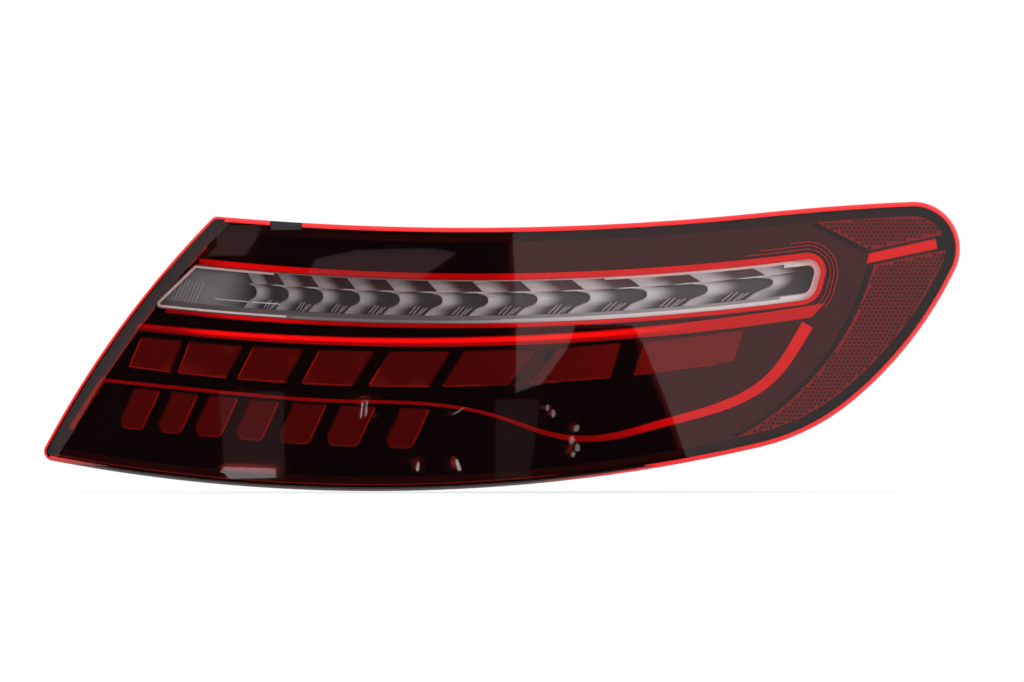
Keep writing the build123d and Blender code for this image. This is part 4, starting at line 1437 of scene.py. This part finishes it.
@dataclass
class Trim:
    """Thin strips that follow an outline: matt border of the bezel, a painted highlight along the foot, crease lines
    and guide ridges that glow as painted light, and window trim.
    """

    matt_depth: float = 8.8 * MM
    matt_thick: float = 0.2 * MM
    border: Point = (3.9 * MM, 7.4 * MM)
    side_border: Point = (7.4 * MM, 8.0 * MM)
    crease: Point = (8.0 * MM, 8.7 * MM)
    line_thick: float = 0.4 * MM
    foot_highlight: Point = (3.1 * MM, 3.8 * MM)
    foot_depth: float = 4.6 * MM
    foot_limits: Point = (30 * MM, -50 * MM)
    foot_gap: float = 8 * MM
    side_reach: float = 15 * MM
    side_span: Point = (-44 * MM, 53 * MM)
    corner_gap: float = 12 * MM
    window_gap: float = 2 * MM
    ridges: int = 3
    ridge_depth: float = 7.4 * MM
    ridge_thick: float = 0.8 * MM
    ridge_width: float = 0.55 * MM
    ridge_reach: Point = (5.6 * MM, 1.9 * MM)
    ridge_start: Point = (126 * MM, 12 * MM)
    ridge_foot: float = 22 * MM
    trim_depth: float = 6.6 * MM
    trim_thick: float = 1.5 * MM
    trim_lap: float = 0.1 * MM
    trims: tuple[tuple[str, float, Point, Half, Metallised], ...] = (
        ("trim_foot", 1.5 * MM, (2 * MM, math.inf), Half.FOOT, BRIGHT_TRIM),
        # A stretch of the window trim that the trim finish paints darker as shade towards the left.
        ("trim_shaded", 0.9 * MM, (-114 * MM, 2 * MM), Half.FOOT, BRIGHT_TRIM),
        ("trim_end", 2.6 * MM, (150 * MM, math.inf), Half.WHOLE, BRIGHT_TRIM),
        ("trim_top", 0.8 * MM, (55 * MM, math.inf), Half.TOP, BRIGHT_TRIM),
        ("trim_left", 0.9 * MM, (-math.inf, -114 * MM), Half.WHOLE, END_TRIM),
    )
    first_inset: float = 0.1 * MM
    smooth: float = 50.0
    outline: list[Vector] = field(default_factory=OUTLINE.points)
    side: list[Vector] = field(default_factory=OUTLINE.side)
    band: list[Vector] = field(default_factory=BAND.points)

    def off_corners(self, x: float, z: float) -> bool:
        """True for a place away from both ends of the slanted side."""
        return min((Vector((x, z)) - corner).length for corner in (self.side[0], self.side[-1])) > self.corner_gap

    def along_foot(self, x: float, z: float) -> bool:
        """True for a place along the inboard foot."""
        far, high = self.foot_limits
        return x < far and z < high and distance_to(self.side, x, z) > self.foot_gap

    def near_side(self, x: float, z: float) -> bool:
        """True for a place along the middle of the slanted side."""
        low, high = self.side_span
        return distance_to(self.side, x, z) < self.side_reach and low < z < high

    def beside_window(self, x: float, z: float) -> bool:
        """True for a place along the slanted side that the window leaves free."""
        return self.near_side(x, z) and not inside(moved(self.band, self.window_gap), x, z)

    def past(self, start: float, x: float, z: float) -> bool:
        """True for a place round the band's right end, from a start on."""
        return x > start and z > self.ridge_foot

    @staticmethod
    def on_band(span: Point, half: Half, x: float, z: float) -> bool:
        """True for a place on a half of the band's edge, between two x."""
        over = Half.TOP if z > BAND.height(x, 0.5) else Half.FOOT
        return span[0] < x < span[1] and half in (over, Half.WHOLE)

    def inset(self, steps: Point) -> list[list[Vector]]:
        """Two edges that lie inside the lamp's outline."""
        return [moved(self.outline, -step) for step in steps]

    def strips(self) -> list[Strip]:
        """Every strip, border first.

        Returns:
            The strips.
        """
        strips = [
            Strip("bezel_border", self.inset(self.border), self.matt_depth, self.matt_thick, self.off_corners,
                  MATT_BORDER, "bezel"),
            # Painted highlight: a glowing strip along the foot stands for a reflection in the lens.
            Strip("foot_highlight", self.inset(self.foot_highlight), self.foot_depth, self.line_thick, self.along_foot,
                  FOOT_HIGHLIGHT, "red_guide"),
            Strip("side_border", self.inset(self.side_border), self.matt_depth, self.matt_thick, self.near_side,
                  MATT_BORDER, "bezel"),
            Strip("side_crease", self.inset(self.crease), self.matt_depth, self.line_thick, self.beside_window,
                  CREASE, "red_guide"),
        ]
        for k in range(self.ridges):
            reach, start = [first + step * k for first, step in (self.ridge_reach, self.ridge_start)]
            edges = [moved(self.band, step) for step in (reach + self.ridge_width, reach)]
            keep = partial(self.past, start)
            strips.append(
                Strip(f"guide_ridge_{k + 1}", edges, self.ridge_depth, self.ridge_thick, keep, CREASE, "red_guide")
            )
        for name, width, span, half, finish in self.trims:
            edges = [moved(self.band, step) for step in (self.trim_lap, -width)]
            keep = partial(self.on_band, span, half)
            strips.append(Strip(name, edges, self.trim_depth, self.trim_thick, keep, finish, "silver"))
        return strips

    def lay(self, strip: Strip) -> None:
        """Model one strip between its edges, on the lens form, with its finish.

        Args:
            strip: The strip.
        """
        outer, inner = strip.edges
        piece = flat_face(strip.name, outer)
        pick(piece, Mode.EDIT)
        bpy.ops.mesh.inset(thickness=self.first_inset)
        leave_edit()
        for vertex in piece.data.vertices[len(outer):]:
            point = inner[nearest(outer, Vector((vertex.co.x, vertex.co.z)))]
            vertex.co = (point.x, 0.0, point.y)
        drop_faces(piece, lambda face: len(face.vertices) > 4 or not strip.keep(face.center.x, face.center.z))
        apply(piece, "SOLIDIFY", thickness=strip.thick, offset=0.0)
        for vertex in piece.data.vertices:
            vertex.co.y += strip.depth + strip.thick / 2
        lay_on_form(piece)
        close_up(piece, self.smooth)
        paint(piece, strip.finish.make())
        seat(piece, strip.slot)

    def build(self) -> None:
        """Every strip with its finish."""
        for strip in self.strips():
            self.lay(strip)


class CellZone(IntEnum):
    """Parts of a lamp cell with a finish of their own, in the order of its materials."""

    FACE = 0
    EDGE = 1
    SHADE = 2


@dataclass
class LampCells:
    """Stop and fog lenses whose raised fronts have chamfered edges, painted lit on one side and in shade on the others.
    """

    chamfer: float = 0.7 * MM
    rise: float = 0.3 * MM
    front_depth: float = 9.2 * MM
    front_tilt: float = -0.7
    lit_from: float = 0.05
    smooth: float = 20.0
    # Each row gives a cell lens and the direction its chamfers are painted lit from; chamfers facing away are painted
    # in shade.
    rows: tuple[tuple[str, tuple[float, float, float]], ...] = (
        ("stop_lens", (-0.7, 0.0, -0.7)), ("fog_lens", (0.8, 0.0, -0.6)),
    )

    def on_front(self, face: bpy.types.MeshPolygon) -> bool:
        """True for a face of a raised front."""
        place = face.center
        return face.normal.y < self.front_tilt and place.y < FORM.y_at(place.x, place.z, self.front_depth)

    def build(self) -> None:
        """Copies of the two cell lenses whose chamfers are painted lit on one side and shaded on the others."""
        finishes = [finish.make() for finish in (CELL_FACE, CELL_LIT_EDGE, CELL_SHADE)]
        for node, bright in self.rows:
            piece = copy_of(node, f"{node}_blocks")
            paint(piece, *finishes)
            before = len(piece.data.polygons)
            pick_faces(piece, self.on_front)
            bpy.ops.mesh.inset(thickness=self.chamfer, depth=self.rise)
            leave_edit()
            for face in piece.data.polygons[before:]:
                # Painted light: chamfers facing the lit direction get the lit edge colour, the others painted shade.
                lit = face.normal.dot(Vector(bright)) > self.lit_from
                face.material_index = CellZone.EDGE if lit else CellZone.SHADE
            smooth_by(piece, self.smooth)
            seat(piece, "stop_red", node)


def straight(top: float, foot: float) -> Side:
    """Straight side line of a plate, from x at its top to x at its foot."""
    return lambda t: top + (foot - top) * t


@dataclass
class SilverBand:
    """Skins of the clear band: two rows of hollow cells, blades between them, ribs, the foot and the plain end."""

    start: float = -126.0 * MM
    pitch: float = 16.6 * MM
    growth: float = 1.0745
    cells: int = 11
    divider: float = 0.27
    waist: float = 0.66
    foot: float = 0.84
    front: float = 11.9 * MM
    hollow: float = 2.3 * MM
    deepest: float = 0.62
    thick: float = 0.9 * MM
    smooth: float = 30.0
    tooth_x: Point = (0.34, 0.24)
    lobe_x: Point = (0.24, 0.42)
    upper_steps: tuple[int, int] = (16, 5)
    lower_steps: tuple[int, int] = (16, 12)
    blade_x: Point = (0.62, 0.1)
    blade_shares: Point = (-0.012, 0.018)
    blade_rise: float = 0.2 * MM
    blade_steps: tuple[int, int] = (10, 1)
    end_x: Point = (167.5 * MM, 160.0 * MM)
    left_x: Point = (-158.1 * MM, -179.4 * MM)
    foot_drop: float = 1 * MM
    foot_steps: tuple[int, int] = (60, 2)
    plain_to: float = -120.0 * MM
    plain_drop: float = 2.1 * MM
    step_x: Point = (-148.0 * MM, -114.4 * MM)
    step_shares: Point = (0.69, 0.715)
    step_drop: float = 0.6 * MM
    step_steps: tuple[int, int] = (8, 1)
    ribs: int = 4
    rib_x: Point = (0.20, 0.085)
    rib_lean: float = 0.16
    rib_width: float = 0.025
    rib_top: tuple[float, float, float] = (0.62, 0.03, 0.02)
    rib_foot: Point = (0.80, 0.02)
    rib_drop: float = 0.9 * MM
    rib_crown: float = -0.15 * MM
    rib_steps: tuple[int, int] = (2, 3)
    ridges: int = 9
    ridge_from: Point = (-172.5 * MM, 27.0 * MM)
    ridge_step: tuple[float, float, float] = (1.75 * MM, 0.0, -0.35 * MM)
    ridge_size: tuple[float, float, float] = (0.45 * MM, 1.2 * MM, 11.0 * MM)
    ridge_edge: float = 0.12 * MM
    ridge_lean: float = 0.42
    ridge_depth: float = 13.6 * MM

    def ends(self) -> list[Point]:
        """Right end and pitch of what lies left of every cell, and of the last cell.

        Returns:
            X and pitch, in metres.
        """
        spots, x, pitch = [], self.start, self.pitch
        for _ in range(self.cells + 1):
            spots.append((x, pitch / self.growth))
            x, pitch = x + pitch, pitch * self.growth
        return spots

    def tooth(self, x: float, pitch: float, t: float) -> float:
        """X of the slanted right end of an upper cell, a share t down it."""
        return x - pitch * (self.tooth_x[0] - self.tooth_x[1] * t)

    def lobe(self, x: float, pitch: float, t: float) -> float:
        """X of the right end of a lower cell, a share t down it: a round lobe, then a slant.

        Args:
            x: Where the lobe ends.
            pitch: Length of the cell.
            t: Share down the cell.

        Returns:
            X in metres.
        """
        share = self.divider + (self.foot - self.divider) * t
        bulge, slant = [part * pitch for part in self.lobe_x]
        if share < self.waist:
            level = 2 * (share - self.divider) / (self.waist - self.divider) - 1
            return x - bulge * (1 - math.sqrt(max(0.0, 1 - level**2)))
        return x - bulge - (slant - bulge) * (share - self.waist) / (self.foot - self.waist)

    def patch(
        self, sides: tuple[Side, Side], shares: Point, finish: bpy.types.Material, front: float,
        steps: tuple[int, int], hollow: float = 0.0,
    ) -> bpy.types.Object:
        """Hollow plate between two side lines, laid on the lens form.

        Args:
            sides: X of the left and the right side at a share down the plate.
            shares: Where the plate starts and ends in the band, from its top edge down.
            finish: Its material.
            front: Depth of its front below the lens face.
            steps: Faces across and down.
            hollow: How much deeper its middle lies.

        Returns:
            The plate.
        """
        leave_edit()
        bpy.ops.mesh.primitive_grid_add(x_subdivisions=steps[0], y_subdivisions=steps[1], size=1.0)
        piece = bpy.context.object
        for vertex in piece.data.vertices:
            u, t = vertex.co.x + 0.5, 0.5 - vertex.co.y
            left, right = [side(t) for side in sides]
            x = left + (right - left) * u
            depth = front + hollow * (1 - ((u - self.deepest) / self.deepest) ** 2)
            vertex.co = (x, depth, BAND.height(x, shares[0] + (shares[1] - shares[0]) * t))
        apply(piece, "SOLIDIFY", thickness=self.thick, offset=-1.0)
        lay_on_form(piece)
        paint(piece, finish)
        return piece

    def cell_plates(self) -> list[bpy.types.Object]:
        """Upper and lower plate of every cell and the blade between them.

        Returns:
            The plates.
        """
        upper, lower, blade = UPPER_SKIN.make(), LOWER_SKIN.make(), BLADE_SKIN.make()
        spots, plates = self.ends(), []
        for here, after in zip(spots, [*spots[1:], None]):
            tooth = partial(self.tooth, *after) if after else straight(self.end_x[0], self.end_x[0])
            lobe = partial(self.lobe, *after) if after else straight(*self.end_x)
            for side, end, shares, finish, steps in (
                (self.tooth, tooth, (0.0, self.divider), upper, self.upper_steps),
                (self.lobe, lobe, (self.divider, self.foot), lower, self.lower_steps),
            ):
                sides = partial(side, *here), end
                plates.append(self.patch(sides, shares, finish, self.front, steps, self.hollow))
            if after:
                x, pitch = after
                sides = tuple(straight(x - share * pitch, x - share * pitch) for share in self.blade_x)
                shares = tuple(self.divider + share for share in self.blade_shares)
                plates.append(self.patch(sides, shares, blade, self.front - self.blade_rise, self.blade_steps))
        return plates

    def long_plates(self) -> list[bpy.types.Object]:
        """Foot strip, plain left end and the bright step across it.

        Returns:
            The plates.
        """
        slant = straight(*self.left_x)
        foot = straight(slant(self.foot), slant(1.0)), straight(self.end_x[1], self.end_x[1])
        plain = slant, straight(self.plain_to, self.plain_to)
        step = tuple(straight(x, x) for x in self.step_x)
        return [
            self.patch(foot, (self.foot, 1.0), FOOT_SKIN.make(), self.front + self.foot_drop, self.foot_steps),
            self.patch(plain, (0.0, 1.0), PLAIN_SKIN.make(), self.front + self.plain_drop, self.lower_steps),
            self.patch(step, self.step_shares, STEP_SKIN.make(), self.front + self.step_drop, self.step_steps),
        ]

    def rib_bars(self) -> list[bpy.types.Object]:
        """Slanted ribs low in every cell.

        Returns:
            The ribs.
        """
        finish, bars = RIB_SKIN.make(), []
        spots = self.ends()
        top, jog, fall = self.rib_top
        for (x, _), (_, pitch) in zip(spots, spots[1:]):
            for k in range(self.ribs):
                foot_x = x + pitch * (self.rib_x[0] + self.rib_x[1] * k)
                near = foot_x, foot_x + self.rib_width * pitch
                sides = tuple(straight(foot + self.rib_lean * pitch, foot) for foot in near)
                shares = top - jog * (k % 2) + fall * k, self.rib_foot[0] + self.rib_foot[1] * (k % 3)
                front = self.front + self.rib_drop
                bars.append(self.patch(sides, shares, finish, front, self.rib_steps, self.rib_crown))
        return bars

    def end_ridges(self) -> bpy.types.Object:
        """Fine upright ridges at the plain left end.

        Returns:
            The ridges, as one piece.
        """
        leave_edit()
        x, z = self.ridge_from
        place = (x, self.ridge_depth, z + self.ridge_size[2] / 2)
        bpy.ops.mesh.primitive_cube_add(size=1.0, location=place, scale=self.ridge_size)
        fins = newest("end_ridges")
        bpy.ops.object.transform_apply(location=True, rotation=True, scale=True)
        for vertex in fins.data.vertices:
            vertex.co.x += (vertex.co.z - z) * self.ridge_lean
        apply(fins, "BEVEL", width=self.ridge_edge, segments=2)
        repeat(fins, self.ridges, self.ridge_step)
        lay_on_form(fins)
        paint(fins, END_RIDGES.make())
        close_up(fins)
        return fins

    def build(self) -> None:
        """Every piece of the band."""
        seat(joined("band_cells", self.cell_plates() + self.long_plates(), self.smooth), "silver")
        seat(joined("band_ribs", self.rib_bars(), self.smooth), "prism", "band_prisms")
        seat(self.end_ridges(), "silver")


@dataclass
class Studs:
    """Mounting studs with a thread on their shanks."""

    places: tuple[tuple[float, float, float], ...] = ((0.0, 0.0, 0.0), (-168.0, 0.0, -18.0), (132.0, 36.0, 14.0))
    crest: float = 3.0 * MM
    root: float = 2.45 * MM
    core: float = 2.401 * MM
    shank: float = 3.06 * MM
    pitch: float = 1.0 * MM
    start: float = 2.0 * MM
    length: float = 20.5 * MM
    run_out: float = 8.0
    steps: tuple[int, int] = (24, 82)
    smooth: float = 40.0
    margin: float = 0.01 * MM
    weld: float = 0.005 * MM

    def thread(self, place: Vector) -> bpy.types.Object:
        """Closed sleeve with a thread along Y, from the collar at a place.

        Args:
            place: Where the stud leaves it.

        Returns:
            The sleeve.
        """
        leave_edit()
        bpy.ops.mesh.primitive_grid_add(x_subdivisions=self.steps[0], y_subdivisions=self.steps[1], size=1.0)
        sleeve = bpy.context.object
        for vertex in sleeve.data.vertices:
            turn, along = vertex.co.x + 0.5, vertex.co.y + 0.5
            rise = abs(2 * ((along * self.length / self.pitch + turn) % 1.0) - 1)
            rise *= min(1.0, self.run_out * along, self.run_out * (1 - along))
            radius = self.root + (self.crest - self.root) * rise
            angle, reach = math.tau * turn, self.start + along * self.length
            vertex.co = place + Vector((radius * math.cos(angle), reach, radius * math.sin(angle)))
        pick(sleeve, Mode.EDIT)
        bpy.ops.mesh.remove_doubles(threshold=self.weld)
        bpy.ops.mesh.fill_holes(sides=0)
        close_up(sleeve, self.smooth)
        return sleeve

    def build(self) -> None:
        """Copy of the studs with thinner shanks, and a thread on each."""
        studs = copy_of("mounting_studs", "threaded_studs")
        places = [Vector(place) * MM for place in self.places]
        share = self.core / self.crest
        for vertex in studs.data.vertices:
            near = places[nearest(places, vertex.co)]
            off = vertex.co - near
            if off.y > -self.margin and math.hypot(off.x, off.z) < self.shank:
                vertex.co = near + Vector((off.x * share, off.y, off.z * share))
        studs = joined("threaded_studs", [studs, *[self.thread(place) for place in places]], self.smooth)
        paint(studs, FINISHES["steel"].make())
        seat(studs, "steel", "mounting_studs")


@dataclass
class ReflexPads:
    """Six-sided prisms of the reflex patches."""

    pitch: float = 2.3 * MM
    radius: float = 1.08 * MM
    top_radius: float = 0.75 * MM
    height: float = 0.3 * MM
    depth: float = 5.5 * MM
    row_rise: float = 0.866
    counts: tuple[int, int, int] = (52, 2, 32)
    corner: tuple[float, float, float] = (118 * MM, 0.0, -56 * MM)
    margin: float = 8.2 * MM
    inner_arc: tuple[Point, Point, Point] = ((124.0, -45.0), (171.0, -5.0), (195.5, 46.0))
    inner_gap: float = 1 * MM
    marker_foot: Line = ((191.2, 45.0), (228.6, 52.8))
    marker_top: Line = ((192.4, 50.4), (227.8, 58.2))
    marker_gaps: Point = (2.6 * MM, 3 * MM)
    upper_edge: Line = ((166.0, 66.0), (193.0, 52.2))
    outline: list[Vector] = field(default_factory=OUTLINE.points)

    def inner_circle(self) -> tuple[Vector, float]:
        """Centre and radius of the lower patch's inner edge.

        Returns:
            Centre and radius, in metres.
        """
        a, b, c = [Vector(p) * MM for p in self.inner_arc]
        ab, ac = b - a, c - a
        cross = 2 * (ab.x * ac.y - ab.y * ac.x)
        centre = a + Vector((
            ac.y * ab.length_squared - ab.y * ac.length_squared, ab.x * ac.length_squared - ac.x * ab.length_squared
        )) / cross
        return centre, (a - centre).length

    @staticmethod
    def over(line: Line, x: float, z: float) -> float:
        """Height of x, z above a line given in millimetres."""
        (x0, z0), (x1, z1) = line
        return z - (z0 * MM + (z1 - z0) / (x1 - x0) * (x - x0 * MM))

    def on_patch(self, x: float, z: float) -> bool:
        """True for a place on one of the two patches.

        Args:
            x: The place.
            z: The place.

        Returns:
            Whether it is.
        """
        if not inside(self.outline, x, z) or distance_to(self.outline, x, z, True) < self.margin:
            return False
        below, above = self.marker_gaps
        if self.over(self.marker_foot, x, z) < -below:
            centre, radius = self.inner_circle()
            return (Vector((x, z)) - centre).length > radius + self.inner_gap and x > self.inner_arc[0][0] * MM
        clear = self.over(self.marker_top, x, z) > above and self.over(self.upper_edge, x, z) > self.inner_gap
        return clear and x > self.upper_edge[0][0] * MM

    def build(self) -> None:
        """Rows of prisms on both patches."""
        leave_edit()
        bpy.ops.mesh.primitive_cone_add(
            vertices=6, radius1=self.radius, radius2=self.top_radius, depth=self.height, end_fill_type="NGON",
            location=self.corner, rotation=(math.pi / 2, 0, 0),
        )
        pads = newest("reflex_prisms")
        bpy.ops.object.transform_apply(location=True, rotation=True, scale=True)
        per_pad = len(pads.data.vertices)
        rise = self.pitch * self.row_rise
        for count, step in zip(self.counts, ((self.pitch, 0, 0), (self.pitch / 2, 0, rise), (0, 0, 2 * rise))):
            repeat(pads, count, step)
        vertices = pads.data.vertices
        keep = []
        for first in range(0, len(vertices), per_pad):
            middle = sum((vertices[first + i].co for i in range(per_pad)), Vector()) / per_pad
            keep.append(self.on_patch(middle.x, middle.z))
        drop_faces(pads, lambda face: not keep[face.vertices[0] // per_pad])
        for vertex in pads.data.vertices:
            vertex.co.y += self.depth - self.height / 2
        lay_on_form(pads)
        paint(pads, PRISM_PAD.make())
        seat(pads, "reflex_red")


@dataclass
class Solids:
    """CAD solids that show as they are, each with the finish of its slot or its own."""

    hidden: tuple[str, ...] = ("outer_lens", "clear_window", "stop_lens", "fog_lens", "band_prisms", "mounting_studs")
    own: dict[str, Any] = field(default_factory=lambda: {
        "hook_light_guide": HOOK_FINISH, "frame_light_guide": LOOP_FINISH, "lower_light_guide": BAR_FINISH,
        "window_trim": BRIGHT_TRIM,
    })

    def dress(self) -> None:
        """Give every shown solid its finish."""
        made = {}
        for row in frame["record"]["subparts"]:
            node = row["node"]
            if node in self.hidden:
                continue
            finish = self.own.get(node, FINISHES[row["material_slot"]])
            if finish.name not in made:
                made[finish.name] = finish.make()
            paint(frame["nodes"][node], made[finish.name])
            LOG.info("%s: %s", node, finish.name)


@dataclass(frozen=True)
class Softbox:
    """Soft area light aimed at the lamp: its place and size in metres and its power in watts."""

    name: str
    place: tuple[float, float, float]
    size: Point
    watts: float

    def build(self) -> None:
        """Add the light, left out of reflections."""
        data = bpy.data.lights.new(self.name, "AREA")
        data.shape, data.energy = "RECTANGLE", self.watts
        data.size, data.size_y = self.size
        light = bpy.data.objects.new(self.name, data)
        light.location = self.place
        light.rotation_mode = "QUATERNION"
        light.rotation_quaternion = (-Vector(self.place)).to_track_quat("-Z", "Y")
        light.visible_camera = light.visible_glossy = False
        bpy.context.scene.collection.objects.link(light)


@dataclass(frozen=True)
class Card:
    """Card that only mirrors see: the corners of its image on the lens in millimetres, and its brightness."""

    name: str
    corners: tuple[Point, ...]
    level: float = 0.0
    wall_y: float = -1.6
    nearer: float = 0.05

    def build(self) -> None:
        """Cut the card so that its image fills its shape on the lens; bright ones hang nearer."""
        wall = self.wall_y + self.nearer * self.level
        points = [FORM.mirrored_to(x * MM, z * MM, wall) for x, z in self.corners]
        card = flat_face(self.name, [Vector((p.x, p.z)) for p in points])
        for vertex in card.data.vertices:
            vertex.co.y = wall
        self.hang(card, self.level)

    @staticmethod
    def hang(card: bpy.types.Object, level: float, colour: Colour = WHITE) -> None:
        """Give a card its brightness and show it to mirrors only.

        Args:
            card: The card.
            level: Its brightness.
            colour: Its colour.
        """
        bench = NodeBench(card.name)
        paint(card, bench.close(bench.shader("Emission", Color=colour, Strength=level)))
        card.visible_camera = card.visible_diffuse = card.visible_shadow = card.visible_transmission = False


def oval(x: float, z: float, width: float, height: float, lean: float, count: int = 10) -> tuple[Point, ...]:
    """Corners of an oval that leans over by a share of its height."""
    turns = [math.tau * i / count for i in range(count)]
    return tuple((x + width * math.cos(t) + lean * height * math.sin(t), z + height * math.sin(t)) for t in turns)


@dataclass
class Studio:
    """Camera, lights, floor and the cards that the lens mirrors."""

    pixel: float = 0.52 * MM
    width: int = 1024
    sensor: float = 36.0
    middle: Point = (6.24 * MM, 4.68 * MM)
    reach: float = 14.0
    focus_y: float = -0.05
    ambient: float = 0.45
    floor_size: float = 6.0
    floor_gap: float = 1 * MM
    floor_grey: float = 0.9
    floor_low: float = 0.7
    floor_fade: Point = (0.05, 0.32)
    flag_size: float = 2.6
    flag_place: tuple[float, float, float] = (-1.4, -0.1, 0.0)
    flag_level: float = 0.03
    flag_colour: Colour = (1.0, 0.3, 0.35)
    softboxes: tuple[Softbox, ...] = (
        Softbox("top_softbox", (0.0, -0.5, 1.4), (1.6, 0.9), 14),
        Softbox("left_softbox", (-1.5, -0.8, 0.5), (0.8, 1.2), 12),
        Softbox("right_softbox", (1.6, -0.8, 0.5), (0.8, 1.2), 12),
        Softbox("front_softbox", (0.0, -2.2, 0.4), (1.6, 1.0), 22),
    )
    left_flag: Card = Card("left_flag", ((-265, 130), (-1.5, 130), (-1.5, -130), (-265, -130)))
    lower_flag: Card = Card("lower_flag", (
        (-1.5, 10), (7, -23), (22, -18), (35, 0), (40, 12), (71, 12), (99, -60), (125, -130), (-1.5, -130),
    ))
    panels: tuple[Card, ...] = (
        Card("panel_1", ((-104, 39), (-99, 48), (-78, 52.5), (-36, 53.5), (-23, 51), (-31, 45.8), (-42, 39)), 0.45),
        Card("panel_2", ((-151, -22), (-116, -22), (-116, -68), (-148, -68)), 0.22),
        Card("panel_3", ((-168, 50), (-150, 68), (-127, 72), (-131, 58), (-137, 50)), 0.45),
        Card("panel_4", ((-2.6, -26), (21, -26), (15.6, -67.6), (-2.6, -67.6)), 0.15),
        Card("panel_5", ((-151, -66.5), (-148, -61.4), (-120, -62.4), (-120, -66.5)), 4.5),
    )
    sharp_glints: tuple[tuple[float, ...], ...] = (
        (-74.0, -31.2, 0.35, 5.2, 0.12), (-71.6, -30.7, 0.3, 4.8, 0.12), (-22.1, -32.5, 0.35, 2.4, 1.7),
        (-44.2, -61.4, 0.5, 3.1, 0.1), (-22.4, -59.4, 1.0, 2.0, -0.3), (-21.2, -62.0, 1.0, 1.4, 0.0),
    )
    soft_glints: tuple[tuple[float, ...], ...] = (
        (25.0, -30.4, 0.9, 1.6, 0.2), (28.2, -33.4, 1.1, 2.0, 0.0), (40.6, -41.2, 1.4, 1.8, 0.3),
        (38.0, -47.5, 1.3, 2.4, 0.2), (40.9, -51.5, 1.2, 2.2, 0.0), (38.6, -55.0, 1.2, 1.3, 0.2),
    )
    glint_levels: Point = (10.0, 4.0)

    def camera(self) -> None:
        """Long lens square to the lamp, framed as the photograph."""
        data = bpy.data.cameras.new("camera")
        data.sensor_width = self.sensor
        data.lens = self.sensor * self.reach / (self.width * self.pixel)
        camera = bpy.data.objects.new("camera", data)
        camera.location = (self.middle[0], self.focus_y - self.reach, self.middle[1])
        camera.rotation_euler = (math.pi / 2, 0, 0)
        bpy.context.scene.collection.objects.link(camera)
        bpy.context.scene.camera = camera

    def world(self) -> None:
        """White surroundings for the eye and for mirrors, softer as a light."""
        bench = NodeBench("studio", Owner.WORLD)
        seen = bench.seen_by("Camera", "Glossy", "Transmission")
        light, white = [bench.shader("Background", Color=WHITE, Strength=level) for level in (self.ambient, 1.0)]
        bpy.context.scene.world = bench.close(bench.mix(seen, light, white))

    def floor(self) -> None:
        """Pale floor that fades into the white surroundings."""
        leave_edit()
        bpy.ops.mesh.primitive_plane_add(size=self.floor_size, location=(0, 0, CAD_BOX[0].z - self.floor_gap))
        floor = newest("floor")
        bench = NodeBench("floor")
        x, y, _ = bench.axes()
        far = ((x * x + y * y) ** 0.5).ramp(*self.floor_fade).rising_from(self.floor_low)
        plain = bench.shader("BsdfDiffuse", Color=(self.floor_grey,) * 3)
        white = bench.shader("Emission", Color=WHITE)
        paint(floor, bench.close(bench.mix(far * bench.seen_by("Camera", "Glossy"), plain, white)))
        floor.visible_glossy = False

    def side_flag(self) -> None:
        """Dark card at the left, seen by the right walls of the silver cells."""
        leave_edit()
        bpy.ops.mesh.primitive_plane_add(
            size=self.flag_size, location=self.flag_place, rotation=(0, math.pi / 2, 0)
        )
        Card.hang(newest("side_flag"), self.flag_level, self.flag_colour)

    def glints(self) -> list[Card]:
        """Small bright ovals on the lens, each given by its place, half width, half height and lean, in millimetres.

        Returns:
            The cards.
        """
        spots = [(spot, level) for spots, level in zip((self.sharp_glints, self.soft_glints), self.glint_levels)
                 for spot in spots]
        return [Card(f"glint_{k + 1}", oval(*spot), level) for k, (spot, level) in enumerate(spots)]

    def build(self) -> None:
        """Set up the whole studio."""
        bpy.context.scene.view_settings.view_transform = "Standard"
        self.camera()
        self.world()
        self.floor()
        self.side_flag()
        for prop in (*self.softboxes, self.left_flag, self.lower_flag, *self.panels, *self.glints()):
            prop.build()


def main() -> None:
    """Build the lamp's looks and the studio in order."""
    logging.basicConfig(level=logging.INFO, format="%(message)s")
    Lens().build()
    Trim().build()
    SilverBand().build()
    LampCells().build()
    ReflexPads().build()
    Studs().build()
    Solids().dress()
    Studio().build()


if __name__ == "__main__":
    main()
